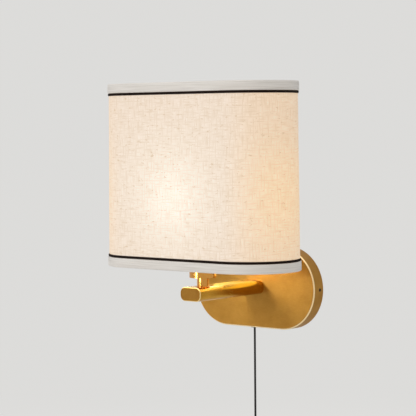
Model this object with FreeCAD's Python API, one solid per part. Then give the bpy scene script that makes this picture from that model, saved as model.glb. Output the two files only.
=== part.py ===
"""Wall light with an oblong fabric shade, a flat-oval brass arm and a hanging mains cord.

Millimetres. The origin is the centre of the wall plate's back, on the wall.
+X is to the right seen from the room, -Y points into the room, +Z is up.
"""
import FreeCAD, Part
import math
import os

# ---- driving dimensions ----------------------------------------------------

# wall plate: a shallow brass cover over a steel wall bracket
plate_length = 177.0
plate_height = 95.4
plate_depth = 17.0
plate_wall = 1.6
plate_bevel = 1.2
bracket_thickness = 2.0
bracket_height = 22.0
bracket_end_gap = 2.1        # between the bracket's turned ends and the cover's rim
bracket_ear_depth = 11.0
bracket_ear_height = 18.0
wall_slot_spacing = 80.0
wall_slot_length = 12.0
wall_slot_width = 4.5
side_screw_diameter = 4.0
side_screw_depth = 6.1       # from the wall to the side screws' axis
side_screw_length = 5.6
side_screw_socket = 2.0      # across the flats
side_screw_socket_depth = 2.2

# arm: a flat-oval brass tube with an inlaid end plate
arm_width = 29.8
arm_height = 15.7
arm_corner = 6.5
arm_wall = 1.6
arm_bevel = 0.7
arm_reach = 108.3            # wall to stem axis
arm_overhang = 21.9          # stem axis to the arm's free end
arm_cap_thickness = 3.0
arm_cap_recess = 0.3
root_block_length = 12.0
locating_pin_diameter = 2.5
locating_pin_length = 9.0
locating_pin_inset = 4.6     # from the arm's side to the pin's axis

# threaded nipples, nuts and washer
nipple_diameter = 10.0
nipple_bore = 8.0
nut_flats = 14.0
nut_thickness = 3.0
nipple_end = 0.8             # how far a nipple stands out of its nut
washer_diameter = 16.0
washer_thickness = 1.0

# stem and lampholder
stem_diameter = 13.0
stem_height = 9.9
cup_diameter = 30.4
cup_height = 22.55
cup_wall = 1.2
cup_floor = 1.6
holder_base_diameter = 27.8
holder_base_height = 24.65
holder_base_floor = 8.0
holder_base_wall = 2.4
carrier_thickness = 5.0
holder_terminal_size = 5.0
holder_terminal_height = 6.5
holder_terminal_offset = 6.5
holder_terminal_roof = 2.0   # metal above the lead's bore
sleeve_diameter = 27.8
sleeve_wall = 1.6
sleeve_height = 28.0
sleeve_flange_diameter = 33.0
sleeve_flange_height = 2.5
sleeve_lip = 2.0
sleeve_mouth = 16.6
screw_shell_diameter = 14.0  # inside
screw_shell_wall = 0.4
screw_shell_height = 21.0
contact_tongue_height = 2.4
contact_tongue_width = 4.0
contact_tongue_foot = 6.0    # from the axis to the foot's end
contact_tongue_bend = 1.8    # from the axis to where the tongue starts to rise
contact_tongue_tip = 1.5     # past the axis
contact_strip = 0.5
shade_ring_diameter = 40.0
shade_ring_height = 5.0
shade_ring_gap = 0.5         # flange to lower ring
flute_count = 24
flute_cutter_diameter = 2.4
flute_cutter_stand = 0.5     # from the ring's edge out to the cutter's axis

# lamp bulb
cap_diameter = 13.8
cap_height = 19.0
cap_wall = 0.4
cap_mouth_lip = 1.2          # the rim that holds the insulator
cap_collar = 4.0
cap_neck = 1.0               # between thread and collar
cap_thread_depth = 0.5
cap_rounds = 5
insulator_height = 3.0
insulator_lip = 0.4          # round the contact
bulb_contact_diameter = 4.4
bulb_contact_height = 1.3
glass_neck_diameter = 13.2
glass_diameter = 35.0
glass_length = 75.0
glass_wall = 0.8
# height and radius of the candle shape, as shares of its length and largest radius
candle_profile = (
    (0.0, glass_neck_diameter / glass_diameter), (0.12, 0.52), (0.27, 0.84), (0.44, 1.0),
    (0.64, 0.9), (0.8, 0.62), (0.92, 0.34),
)
filament_count = 4
filament_diameter = 1.6
filament_length = 38.0
filament_circle = 12.0
filament_start = 19.0        # above the glass's neck
filament_wire = 0.6
centre_wire = 1.2
centre_wire_rise = 2.0       # above the filaments
stem_glass_diameter = 5.0
stem_glass_gap = 5.0         # from the stem's top to the filaments
flare_height = 7.0
flare_drop = 0.4             # below the glass's neck
wire_seat = 1.0              # length of wire inside the glass

# shade
shade_straight = 141.0       # flat part of the front and back
shade_end_radius = 54.5      # rounded ends at mid-height, outside the tape
shade_flare = 0.8            # added to that radius at the bottom, taken off at the top
shade_height = 208.0
fitter_recess = 23.2         # the fitter ring above the shade's bottom edge
fitter_outer_diameter = 41.0
fitter_thickness = 1.5
spoke_diameter = 3.0
hoop_diameter = 2.5
fabric_thickness = 0.5
liner_thickness = 0.6
tape_thickness = 1.4
tape_height = 10.6
tape_inner_height = 8.0
tape_fold = 0.8
piping_height = 3.0
piping_depth = 1.0

# terminal block and cord clamp inside the wall plate
block_length = 20.0
block_width = 17.0
block_depth = 10.5
block_offset = 20.0          # to the left of the arm's axis
pole_spacing = 9.0
pole_outer_diameter = 3.5
pole_bore = 2.2
pole_length = 15.0
pole_stand = 4.5             # from the bracket to the poles' axis
pole_screw_spacing = 9.0
pole_screw_diameter = 2.8
fixing_screw_diameter = 3.0
fixing_head_diameter = 5.5
fixing_head_height = 1.8
screw_slot_width = 0.8
screw_slot_depth = 0.8
clamp_length = 18.0
clamp_width = 8.0
clamp_screw_spacing = 12.0
clamp_height = 33.0          # below the arm's axis
jacket_past_clamp = 2.0
tab_width = 22.0
tab_drop = 38.0

# leads and cord
lead_diameter = 1.5
core_diameter = 1.0
lead_spacing = 2.4
lead_loops = (26.0, 19.0)    # heights of the live and neutral leads' loops
lead_turn_stand = 4.9        # from the nipple's mouth to where the loops come down
lead_dip_start = 40.0        # from the wall to where the leads sink in the arm
lead_dip_end = 20.0          # short of the stem's axis
lead_floor_gap = 0.7         # leads over the arm's floor
lead_exit_drop = 0.4         # below the stem nipple's end
lead_clamp_straight = 1.0    # below a holder terminal
lead_clamp_grip = 3.0        # inside it
lead_pole_grip = 0.5         # past the pole screw's axis
# straight run above the jacket's end and below the block, for each core
core_runs = ((9.0, 3.5), (5.0, 7.5))
cord_diameter = 2.5
cord_offset = 5.5            # to the left of the arm's axis
cord_stand = 8.5             # wall to the cord's axis
grommet_hole = 6.0
grommet_flange_diameter = 8.4
grommet_flange = 1.0
cord_drop = 113.3            # grommet to switch

# switch in the cord
switch_length = 50.0
switch_width = 20.0
switch_depth = 14.0
switch_corner = 8.0
switch_wall = 1.8
switch_end_wall = 7.2        # solid ends that grip the cord
switch_round = 1.6
rocker_length = 17.2
rocker_width = 9.0
rocker_throw = 16.0          # degrees between on and off
rocker_pivot_depth = 4.0     # below the switch's front face
rocker_crown = 3.2           # pivot to the rocker's middle ridge
rocker_back = 2.2
trunnion_diameter = 2.4
trunnion_length = 1.2
switch_contact_width = 4.0
switch_contact_gap = 3.0     # between the two strips
switch_contact_reach = 3.0   # past the rocker's end
switch_screw_diameter = 2.5
switch_screw_spacing = 40.0
switch_screw_grip = 3.8      # length in the cover

# coil and plug
switch_to_coil = 10.0
coil_radius = 21.0           # outermost turn
coil_pitch = 3.0             # from turn to turn and from layer to layer
coil_turns = 4               # in one layer
coil_layers = 4
coil_last_layer = 3.75
coil_climb = 0.5             # turns in which the coil climbs a layer
coil_steps = 4               # curved steps in one turn
coil_entry_radius = 10.0
tie_width = 6.0
tie_thickness = 0.8
tie_angle = 22.0
plug_lead_length = 5.5
relief_length = 20.0
relief_root = 1.0            # inside the plug
relief_diameter = 6.0
relief_lip = 0.6             # round the cord at the narrow end
plug_length = 33.0
plug_width = 34.0
plug_top_width = 12.0
plug_shoulder = 17.0
plug_thickness = 13.7
plug_round = 2.5
plug_edge_round = 2.0
pin_diameter = 4.0
pin_length = 19.0
pin_tip_round = 1.2
pin_spacing = 18.6

# clearances
thread_gap = 0.05            # screws and nipples in their threads
slip_gap = 0.15              # parts that pass through or sit in one another
turn_gap = 0.3               # parts that turn past one another
pivot_gap = 0.08             # the rocker's pins in their sockets
glue_gap = 0.05              # glued layers
face_gap = 0.1               # flat faces that slide on one another
overcut = 1.0                # how far a cutting shape reaches past its part
bevel_share = 0.9            # share of a wall that its bevel may take

X = FreeCAD.Vector(1, 0, 0)
Y = FreeCAD.Vector(0, 1, 0)
Z = FreeCAD.Vector(0, 0, 1)


# ---- helpers -----------------------------------------------------------------

def at(x, y, z):
    return FreeCAD.Vector(x, y, z)


def rod(diameter, start, end):
    """A round bar from start to end."""
    run = end - start
    return Part.makeCylinder(diameter / 2, run.Length, start, run)


def pipe(outer, inner, start, end):
    """A round tube from start to end."""
    return rod(outer, start, end).cut(rod(inner, start, end))


def block(low, high):
    """A box between two opposite corners."""
    size = high - low
    return Part.makeBox(size.x, size.y, size.z, low)


def rounded_wire(width, height, radius, centre, across, up):
    """A rectangle with round corners; fully round ends when the radius is half the height."""
    flat = max(width / 2 - radius, 0.0)
    rise = max(height / 2 - radius, 0.0)
    diagonal = radius * math.sqrt(0.5)
    edges = []
    previous = None
    first = None
    for right, top in ((1, -1), (1, 1), (-1, 1), (-1, -1)):
        middle = centre + across * (right * flat) + up * (top * rise)
        side = middle + across * (right * radius)
        level = middle + up * (top * radius)
        corner = middle + across * (right * diagonal) + up * (top * diagonal)
        start, end = (level, side) if right * top < 0 else (side, level)
        if previous is not None and (start - previous).Length > 1e-6:
            edges.append(Part.LineSegment(previous, start).toShape())
        edges.append(Part.Arc(start, corner, end).toShape())
        first = first or start
        previous = end
    if (first - previous).Length > 1e-6:
        edges.append(Part.LineSegment(previous, first).toShape())
    return Part.Wire(edges)


def rounded_prism(width, height, radius, centre, across, up, run):
    """The same outline as a bar that runs along the vector run."""
    face = Part.Face(rounded_wire(width, height, radius, centre, across, up))
    return face.extrude(run)


def edges_on(shape, place, axis):
    """The edges that lie wholly in the plane through place, square to axis."""
    found = []
    for edge in shape.Edges:
        box = [edge.valueAt(t) for t in (edge.FirstParameter, edge.LastParameter)]
        box.append(edge.valueAt((edge.FirstParameter + edge.LastParameter) / 2))
        if all(abs((point - place).dot(axis)) < 1e-6 for point in box):
            found.append(edge)
    return found


def hexagon(flats, start, run):
    """A hexagonal bar that runs along X, Y or Z from start."""
    across = Y if abs(run.x) > 0 else X
    up = Y if abs(run.z) > 0 else Z
    radius = flats / math.sqrt(3)
    corners = []
    for k in range(7):
        turn = math.radians(60 * k)
        corners.append(start + across * (radius * math.cos(turn)) + up * (radius * math.sin(turn)))
    return Part.Face(Part.makePolygon(corners)).extrude(run)


def revolved(points, centre):
    """A solid turned about the vertical axis through centre, from (radius, height) points."""
    corners = [centre + at(r, 0, z) for r, z in points]
    face = Part.Face(Part.makePolygon(corners + corners[:1]))
    return face.revolve(centre, Z, 360)


def pan_screw(diameter, head_diameter, head_height, seat, run):
    """A screw with a flat round head; its head sits on the point seat and its shank fills run."""
    head = rod(head_diameter, seat, seat - run * (head_height / run.Length))
    outward = run * (-1 / run.Length)
    floor = seat + outward * (head_height - screw_slot_depth)
    reach = at(head_diameter, 0, screw_slot_width / 2)
    cut = block(floor - reach - Y * (screw_slot_depth + overcut), floor + reach)
    return head.cut(cut).fuse(rod(diameter, seat, seat + run)).removeSplitter()


def rounded_path(points, label=None):
    """Straight runs joined by tangent arcs, each as large as its two runs allow."""
    radii = []
    edges = []
    here = points[0]
    for before, corner, after in zip(points, points[1:], points[2:]):
        arrive = (corner - before).normalize()
        leave = (after - corner).normalize()
        turn = arrive.getAngle(leave)
        setback = 0.45 * min((corner - before).Length, (after - corner).Length)
        radii.append(setback / math.tan(turn / 2))
        start = corner - arrive * setback
        end = corner + leave * setback
        weight = math.cos(turn / 2)
        middle = (start + end + corner * (2 * weight)) * (1 / (2 + 2 * weight))
        edges.append(Part.LineSegment(here, start).toShape())
        edges.append(Part.Arc(start, middle, end).toShape())
        here = end
    edges.append(Part.LineSegment(here, points[-1]).toShape())
    if label:
        print(label, "bend radii", [round(r, 1) for r in radii])
    return Part.Wire(edges)


def wire_along(path, diameter):
    """A round wire along a path."""
    first = path.Edges[0]
    start = first.valueAt(first.FirstParameter)
    ring = Part.Wire(Part.makeCircle(diameter / 2, start, first.tangentAt(first.FirstParameter)))
    return path.makePipeShell([ring], True, False)


def sweep(path, diameter, label):
    """The same, with its volume set against its section times its length."""
    solid = wire_along(path, diameter)
    expected = math.pi * (diameter / 2) ** 2 * path.Length
    print(label, "length", round(path.Length, 1), "volume share", round(solid.Volume / expected, 4))
    return solid


# ---- places that follow from the sizes -----------------------------------------

front = -plate_depth
cover_inside = front + plate_wall
bracket_face = -bracket_thickness
arm_end = -(arm_reach + arm_overhang)
arm_top = arm_height / 2
axis = at(0, -arm_reach, 0)
locating_pin_x = arm_width / 2 - locating_pin_inset

cup_bottom = arm_top + stem_height
base_bottom = cup_bottom + cup_floor
base_top = base_bottom + holder_base_height
lower_ring_bottom = base_top + sleeve_flange_height + shade_ring_gap
lower_ring_top = lower_ring_bottom + shade_ring_height
fitter_bottom = lower_ring_top + face_gap
fitter_top = fitter_bottom + fitter_thickness
upper_ring_bottom = fitter_top + face_gap

shade_bottom = fitter_bottom - fitter_recess
shade_top = shade_bottom + shade_height

bulb_tip = base_top + contact_tongue_height + turn_gap
cap_bottom = bulb_tip + bulb_contact_height + insulator_height
glass_bottom = cap_bottom + cap_height

fixing_seat = bracket_face - block_depth
pole_depth = bracket_face - pole_stand

cord_x = -cord_offset
cord_y = -cord_stand
cord_exit = -plate_height / 2 - grommet_flange
switch_top = cord_exit - cord_drop
switch_bottom = switch_top - switch_length
coil_start = switch_bottom - switch_to_coil
coil_x = cord_x + coil_entry_radius
coil_z = coil_start - cord_diameter - coil_entry_radius - coil_radius


# ---- wall plate ------------------------------------------------------------------

def make_wall_bracket():
    """Steel strip with turned ends, wall slots, and a tab that carries the cord clamp."""
    end = plate_length / 2 - plate_wall - bracket_end_gap
    strip = block(at(-end, bracket_face, -bracket_height / 2), at(end, 0, bracket_height / 2))
    tab = block(
        at(cord_x - tab_width / 2, bracket_face, -tab_drop),
        at(cord_x + tab_width / 2, 0, 0),
    )
    bracket = strip.fuse(tab)
    for side in (-1, 1):
        inner, outer = sorted((side * end, side * (end - bracket_thickness)))
        ear = block(
            at(inner, -bracket_ear_depth, -bracket_ear_height / 2),
            at(outer, 0, bracket_ear_height / 2),
        )
        bracket = bracket.fuse(ear)
        slot = rounded_prism(
            wall_slot_length, wall_slot_width, wall_slot_width / 2,
            at(side * wall_slot_spacing / 2, overcut, 0), X, Z, Y * -(bracket_thickness + 2 * overcut),
        )
        bracket = bracket.cut(slot)
    threads = rod(
        side_screw_diameter + 2 * thread_gap,
        at(-plate_length / 2, -side_screw_depth, 0), at(plate_length / 2, -side_screw_depth, 0),
    )
    bracket = bracket.cut(threads)
    for place in fixing_places():
        hole = rod(fixing_screw_diameter + 2 * thread_gap, place, at(place.x, overcut, place.z))
        bracket = bracket.cut(hole)
    return bracket.removeSplitter()


def fixing_places():
    """Where the three bracket screws' heads sit: terminal block, then cord clamp."""
    half = clamp_screw_spacing / 2
    return [
        at(-block_offset, fixing_seat, 0),
        at(cord_x - half, fixing_seat, -clamp_height),
        at(cord_x + half, fixing_seat, -clamp_height),
    ]


def make_cover_plate():
    outer = rounded_prism(plate_length, plate_height, plate_height / 2, at(0, 0, 0), X, Z, Y * front)
    bevel = min(plate_bevel, plate_wall * bevel_share)
    outer = outer.makeChamfer(bevel, edges_on(outer, at(0, front, 0), Y))
    inner = rounded_prism(
        plate_length - 2 * plate_wall, plate_height - 2 * plate_wall, plate_height / 2 - plate_wall,
        at(0, 0, 0), X, Z, Y * cover_inside,
    )
    cover = outer.cut(inner)
    nipple_hole = rod(nipple_diameter + 2 * slip_gap, at(0, front - overcut, 0), at(0, 0, 0))
    pin_hole = rod(
        locating_pin_diameter + 2 * slip_gap,
        at(locating_pin_x, front - overcut, 0), at(locating_pin_x, 0, 0),
    )
    cord_hole = rod(grommet_hole, at(cord_x, cord_y, -plate_height), at(cord_x, cord_y, 0))
    side_hole = rod(
        side_screw_diameter + 2 * slip_gap,
        at(-plate_length, -side_screw_depth, 0), at(plate_length, -side_screw_depth, 0),
    )
    return cover.cut(nipple_hole).cut(pin_hole).cut(cord_hole).cut(side_hole)


def make_side_screws():
    screws = []
    for side in (-1, 1):
        outer = at(side * (plate_length / 2 - slip_gap), -side_screw_depth, 0)
        inner = outer - X * (side * side_screw_length)
        screw = rod(side_screw_diameter, inner, outer)
        socket = hexagon(side_screw_socket, outer, X * (-side * side_screw_socket_depth))
        screws.append(screw.cut(socket))
    return Part.makeCompound(screws)


def make_bracket_screws():
    length = fixing_seat * -1
    return Part.makeCompound([
        pan_screw(fixing_screw_diameter, fixing_head_diameter, fixing_head_height, place, Y * length)
        for place in fixing_places()
    ])


def pole_places():
    """The two poles' x positions, the one nearest the arm first."""
    return (-block_offset + pole_spacing / 2, -block_offset - pole_spacing / 2)


def make_terminal_block():
    body = block(
        at(-block_offset - block_length / 2, fixing_seat, -block_width / 2),
        at(-block_offset + block_length / 2, bracket_face, block_width / 2),
    )
    for x in pole_places():
        bore = rod(
            pole_outer_diameter + 2 * thread_gap,
            at(x, pole_depth, -block_width), at(x, pole_depth, block_width),
        )
        body = body.cut(bore)
        for z in (-pole_screw_spacing / 2, pole_screw_spacing / 2):
            mouth = at(x, fixing_seat - overcut, z)
            body = body.cut(rod(pole_screw_diameter + 2 * slip_gap, mouth, at(x, pole_depth, z)))
    hole = rod(
        fixing_screw_diameter + 2 * slip_gap,
        at(-block_offset, fixing_seat - overcut, 0), at(-block_offset, 0, 0),
    )
    return body.cut(hole)


def make_terminal_tubes():
    tubes = []
    for x in pole_places():
        low = at(x, pole_depth, -pole_length / 2)
        high = at(x, pole_depth, pole_length / 2)
        tube = pipe(pole_outer_diameter, pole_bore, low, high)
        for z in (-pole_screw_spacing / 2, pole_screw_spacing / 2):
            thread = rod(pole_screw_diameter + 2 * thread_gap, at(x, fixing_seat, z), at(x, pole_depth, z))
            tube = tube.cut(thread)
        tubes.append(tube)
    return Part.makeCompound(tubes)


def make_terminal_screws():
    tip = pole_depth - lead_diameter / 2 - thread_gap
    head = fixing_seat + slip_gap
    return Part.makeCompound([
        rod(pole_screw_diameter, at(x, head, z), at(x, tip, z))
        for x in pole_places()
        for z in (-pole_screw_spacing / 2, pole_screw_spacing / 2)
    ])


def make_clamp_half(near, far):
    """One half of the cord clamp, between two distances from the wall."""
    half = block(
        at(cord_x - clamp_length / 2, far, -clamp_height - clamp_width / 2),
        at(cord_x + clamp_length / 2, near, -clamp_height + clamp_width / 2),
    )
    for place in fixing_places()[1:]:
        hole = rod(
            fixing_screw_diameter + 2 * slip_gap,
            at(place.x, far - overcut, place.z), at(place.x, near + overcut, place.z),
        )
        half = half.cut(hole)
    return half


def make_cord_saddle():
    return make_clamp_half(bracket_face, cord_y + cord_diameter / 2 + glue_gap)


def make_cord_bridge():
    return make_clamp_half(cord_y - cord_diameter / 2 - glue_gap, fixing_seat)


def make_cord_grommet():
    wall_low = -plate_height / 2
    wall_high = wall_low + plate_wall
    body = rod(
        grommet_hole - 2 * thread_gap,
        at(cord_x, cord_y, wall_low - grommet_flange), at(cord_x, cord_y, wall_high + grommet_flange),
    )
    for start in (wall_low - grommet_flange, wall_high):
        flange = rod(
            grommet_flange_diameter,
            at(cord_x, cord_y, start), at(cord_x, cord_y, start + grommet_flange),
        )
        body = body.fuse(flange)
    bore = rod(
        cord_diameter + 2 * glue_gap,
        at(cord_x, cord_y, -plate_height), at(cord_x, cord_y, 0),
    )
    return body.cut(bore).removeSplitter()


jacket_end = -clamp_height + clamp_width / 2 + jacket_past_clamp


def make_cord_tail():
    """The cord from the plate's edge through its grommet and clamp to where its jacket ends."""
    return rod(cord_diameter, at(cord_x, cord_y, cord_exit), at(cord_x, cord_y, jacket_end))


def make_cord_cores():
    """The cord's two cores, from the jacket's end up into the terminal block."""
    step = core_diameter / 2 + glue_gap
    cores = []
    for side, pole_x, (rise, drop) in zip((1, -1), pole_places(), core_runs):
        start = at(cord_x + side * step, cord_y, jacket_end)
        end = at(pole_x, pole_depth, -pole_screw_spacing / 2)
        below_block = at(pole_x, pole_depth, -block_width / 2 - drop)
        path = rounded_path([start, start + Z * rise, below_block, end], "core")
        cores.append(sweep(path, core_diameter, "core"))
    return Part.makeCompound(cores)


# ---- arm ---------------------------------------------------------------------------

def make_arm_tube():
    length = Y * (arm_end - front)
    outer = rounded_prism(arm_width, arm_height, arm_corner, at(0, front, 0), X, Z, length)
    bevel = min(arm_bevel, arm_wall * bevel_share)
    outer = outer.makeChamfer(bevel, edges_on(outer, at(0, arm_end, 0), Y))
    inner = rounded_prism(
        arm_width - 2 * arm_wall, arm_height - 2 * arm_wall, arm_corner - arm_wall,
        at(0, front, 0), X, Z, length,
    )
    stem_hole = rod(nipple_diameter + 2 * slip_gap, axis, axis + Z * arm_height)
    return outer.cut(inner).cut(stem_hole)


def arm_filler(start, run):
    """A bar that fills the arm's inside."""
    trim = 2 * (arm_wall + glue_gap)
    return rounded_prism(arm_width - trim, arm_height - trim, arm_corner - trim / 2, start, X, Z, run)


def make_arm_end_cap():
    return arm_filler(at(0, arm_end + arm_cap_recess, 0), Y * arm_cap_thickness)


def make_arm_root_block():
    body = arm_filler(at(0, front, 0), Y * -root_block_length)
    inner_end = front - root_block_length
    thread = rod(nipple_diameter + 2 * thread_gap, at(0, front, 0), at(0, inner_end, 0))
    pin_end = cover_inside - locating_pin_length
    pin_hole = rod(
        locating_pin_diameter + 2 * thread_gap,
        at(locating_pin_x, front, 0), at(locating_pin_x, pin_end, 0),
    )
    return body.cut(thread).cut(pin_hole)


def make_arm_locating_pin():
    start = cover_inside + nipple_end
    return rod(
        locating_pin_diameter,
        at(locating_pin_x, start, 0), at(locating_pin_x, start - locating_pin_length, 0),
    )


nipple_mouth = cover_inside + washer_thickness + nut_thickness + nipple_end


def make_arm_nipple():
    return pipe(nipple_diameter, nipple_bore, at(0, nipple_mouth, 0), at(0, front - root_block_length, 0))


def make_arm_washer():
    return pipe(
        washer_diameter, nipple_diameter + 2 * slip_gap,
        at(0, cover_inside, 0), at(0, cover_inside + washer_thickness, 0),
    )


def make_arm_nut():
    start = at(0, cover_inside + washer_thickness, 0)
    run = Y * nut_thickness
    return hexagon(nut_flats, start, run).cut(rod(nipple_diameter + 2 * thread_gap, start, start + run))


# ---- stem and lampholder --------------------------------------------------------------

def make_stem_sleeve():
    return pipe(stem_diameter, nipple_diameter + 2 * slip_gap, axis + Z * arm_top, axis + Z * cup_bottom)


stem_nut_top = arm_top - arm_wall
stem_nipple_foot = stem_nut_top - nut_thickness - nipple_end


def make_stem_nipple():
    return pipe(
        nipple_diameter, nipple_bore,
        axis + Z * stem_nipple_foot, axis + Z * (base_bottom + holder_base_floor),
    )


def make_stem_nut():
    start = axis + Z * (stem_nut_top - nut_thickness)
    run = Z * nut_thickness
    return hexagon(nut_flats, start, run).cut(rod(nipple_diameter + 2 * thread_gap, start, start + run))


def make_holder_cup():
    low = axis + Z * cup_bottom
    high = low + Z * cup_height
    cup = rod(cup_diameter, low, high).cut(rod(cup_diameter - 2 * cup_wall, axis + Z * base_bottom, high))
    return cup.cut(rod(nipple_diameter + 2 * slip_gap, low, high))


def make_holder_base():
    low = axis + Z * base_bottom
    high = axis + Z * base_top
    body = rod(min(holder_base_diameter, cup_diameter - 2 * cup_wall - 2 * glue_gap), low, high)
    cavity = rod(
        holder_base_diameter - 2 * holder_base_wall,
        axis + Z * (base_bottom + holder_base_floor), high,
    )
    thread = rod(nipple_diameter + 2 * thread_gap, low, high)
    return body.cut(cavity).cut(thread)


carrier_bottom = base_top - carrier_thickness


def make_contact_carrier():
    """Porcelain disc that holds the contacts."""
    diameter = holder_base_diameter - 2 * holder_base_wall - 2 * slip_gap
    return rod(diameter, axis + Z * carrier_bottom, axis + Z * base_top)


def make_holder_terminals():
    """Two brass clamps under the carrier, each with its screw."""
    half = holder_terminal_size / 2
    foot = carrier_bottom - holder_terminal_height
    clamps = []
    for side in (-1, 1):
        centre = axis + X * (side * holder_terminal_offset)
        clamp = block(centre + at(-half, -half, foot), centre + at(half, half, carrier_bottom))
        roof = carrier_bottom - holder_terminal_roof
        bore = rod(lead_diameter + 2 * slip_gap, centre + Z * foot, centre + Z * roof)
        clamps.append(clamp.cut(bore))
    return Part.makeCompound(clamps)


def make_centre_contact():
    """A sprung tongue that rises to the bulb's tip."""
    foot, bend, tip = contact_tongue_foot, contact_tongue_bend, -contact_tongue_tip
    rise = contact_tongue_height
    points = [
        (foot, 0), (bend, 0), (tip, rise - contact_strip),
        (tip, rise), (bend, contact_strip), (foot, contact_strip),
    ]
    half = contact_tongue_width / 2
    corners = [axis + at(x, -half, base_top + z) for x, z in points]
    return Part.Face(Part.makePolygon(corners + corners[:1])).extrude(Y * contact_tongue_width)


def make_screw_shell():
    return pipe(
        screw_shell_diameter + 2 * screw_shell_wall, screw_shell_diameter,
        axis + Z * base_top, axis + Z * (base_top + screw_shell_height),
    )


def make_holder_sleeve():
    """Upper skirt of the lampholder, with the flange that the shade rings press against."""
    outer = sleeve_diameter / 2
    inner = outer - sleeve_wall
    flange = sleeve_flange_diameter / 2
    mouth = sleeve_mouth / 2
    return revolved([
        (inner, 0), (flange, 0), (flange, sleeve_flange_height), (outer, sleeve_flange_height),
        (outer, sleeve_height), (mouth, sleeve_height), (mouth, sleeve_height - sleeve_lip),
        (inner, sleeve_height - sleeve_lip),
    ], axis + Z * base_top)


def make_shade_ring(bottom):
    """A ring nut with shallow flutes round its edge."""
    low = axis + Z * bottom
    high = low + Z * shade_ring_height
    ring = pipe(shade_ring_diameter, sleeve_diameter + 2 * thread_gap, low, high)
    flutes = []
    for k in range(flute_count):
        turn = math.radians(360 * k / flute_count)
        out = at(math.cos(turn), math.sin(turn), 0) * (shade_ring_diameter / 2 + flute_cutter_stand)
        flutes.append(rod(flute_cutter_diameter, low + out - Z * overcut, high + out + Z * overcut))
    return ring.cut(Part.makeCompound(flutes))


# ---- leads through the arm -----------------------------------------------------------

def make_lead(pole_x, lift, side):
    """An insulated lead from the terminal block through arm and stem to the lampholder."""
    x = side * lead_spacing / 2
    turn_depth = nipple_mouth + lead_turn_stand
    floor = -arm_top + arm_wall + lead_diameter / 2 + lead_floor_gap
    entry = base_bottom + holder_base_floor - lead_exit_drop
    terminal = at(side * holder_terminal_offset, -arm_reach, 0)
    foot = carrier_bottom - holder_terminal_height
    points = [
        at(pole_x, pole_depth, pole_screw_spacing / 2 - lead_pole_grip),
        at(pole_x, pole_depth, lift),
        at(x, turn_depth, lift),
        at(x, turn_depth, 0),
        at(x, -lead_dip_start, 0),
        at(x, -arm_reach + lead_dip_end, floor),
        at(x, -arm_reach, floor),
        at(x, -arm_reach, entry),
        terminal + Z * (foot - lead_clamp_straight),
        terminal + Z * (foot + lead_clamp_grip),
    ]
    return sweep(rounded_path(points, "lead"), lead_diameter, "lead")


# ---- lamp bulb -------------------------------------------------------------------------

def make_bulb_cap():
    """Screw cap with its rolled thread drawn as rounds."""
    crest = cap_diameter / 2
    root = crest - cap_thread_depth
    pitch = (cap_height - cap_collar - cap_neck) / cap_rounds
    outline = [(root - cap_mouth_lip, 0), (root, 0)]
    for k in range(cap_rounds):
        outline += [(crest, (k + 0.5) * pitch), (root, (k + 1) * pitch)]
    inside = root - cap_wall
    outline += [(crest, cap_height - cap_collar), (crest, cap_height), (inside, cap_height)]
    outline += [(inside, cap_wall), (root - cap_mouth_lip, cap_wall)]
    return revolved(outline, axis + Z * cap_bottom)


def make_bulb_insulator():
    rim = cap_diameter / 2 - cap_thread_depth
    tip = bulb_contact_diameter / 2 + insulator_lip
    return revolved(
        [(0, 0), (tip, 0), (rim, insulator_height), (0, insulator_height)],
        axis + Z * (cap_bottom - insulator_height),
    )


def make_bulb_contact():
    low = axis + Z * bulb_tip
    return rod(bulb_contact_diameter, low, low + Z * bulb_contact_height)


def glass_blank(inset, foot):
    """The candle shape as a solid, inset by a wall; its neck starts at the height foot."""
    outline = [
        at(glass_diameter / 2 * radius - inset, 0, glass_length * height)
        for height, radius in candle_profile
    ]
    top = at(0, 0, glass_length - inset)
    curve = Part.BSplineCurve()
    curve.interpolate(Points=outline + [top], InitialTangent=Z, FinalTangent=X * -1)
    corners = [top, at(0, 0, foot), at(outline[0].x, 0, foot), outline[0]]
    edges = [
        Part.LineSegment(a, b).toShape()
        for a, b in zip(corners, corners[1:]) if (b - a).Length > 0
    ]
    blank = Part.Face(Part.Wire(edges + [curve.toShape()])).revolve(at(0, 0, 0), Z, 360)
    blank.translate(axis + Z * glass_bottom)
    return blank


def make_bulb_glass():
    return glass_blank(0, 0).cut(glass_blank(glass_wall, -glass_wall))


def filament_places():
    radius = filament_circle / 2
    turns = [math.radians(45 + 360 * k / filament_count) for k in range(filament_count)]
    return [axis + at(radius * math.cos(a), radius * math.sin(a), 0) for a in turns]


filament_low = glass_bottom + filament_start
filament_high = filament_low + filament_length


def make_led_filaments():
    return Part.makeCompound([
        rod(filament_diameter, place + Z * filament_low, place + Z * filament_high)
        for place in filament_places()
    ])


def make_filament_stem():
    """Glass stem with the wire spiders that hold the filaments at both ends."""
    top = filament_start - stem_glass_gap
    flare = revolved(
        [
            (0, -flare_drop), (glass_neck_diameter / 2 - glass_wall - glue_gap, -flare_drop),
            (stem_glass_diameter / 2, flare_height), (stem_glass_diameter / 2, top), (0, top),
        ],
        axis + Z * glass_bottom,
    )
    wire_foot = axis + Z * (glass_bottom + top - wire_seat)
    stem = flare.fuse(rod(centre_wire, wire_foot, axis + Z * (filament_high + centre_wire_rise)))
    for level in (filament_low - filament_wire / 2, filament_high + filament_wire / 2):
        for place in filament_places():
            stem = stem.fuse(rod(filament_wire, axis + Z * level, place + Z * level))
    return stem


# ---- shade -------------------------------------------------------------------------------

def shade_section(inset, height):
    """The shade's outline at a height, inset from the tape's outer face."""
    share = (height - shade_bottom) / shade_height
    radius = shade_end_radius + shade_flare * (1 - 2 * share) - inset
    return rounded_wire(shade_straight + 2 * radius, 2 * radius, radius, axis + Z * height, X, Y)


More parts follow.
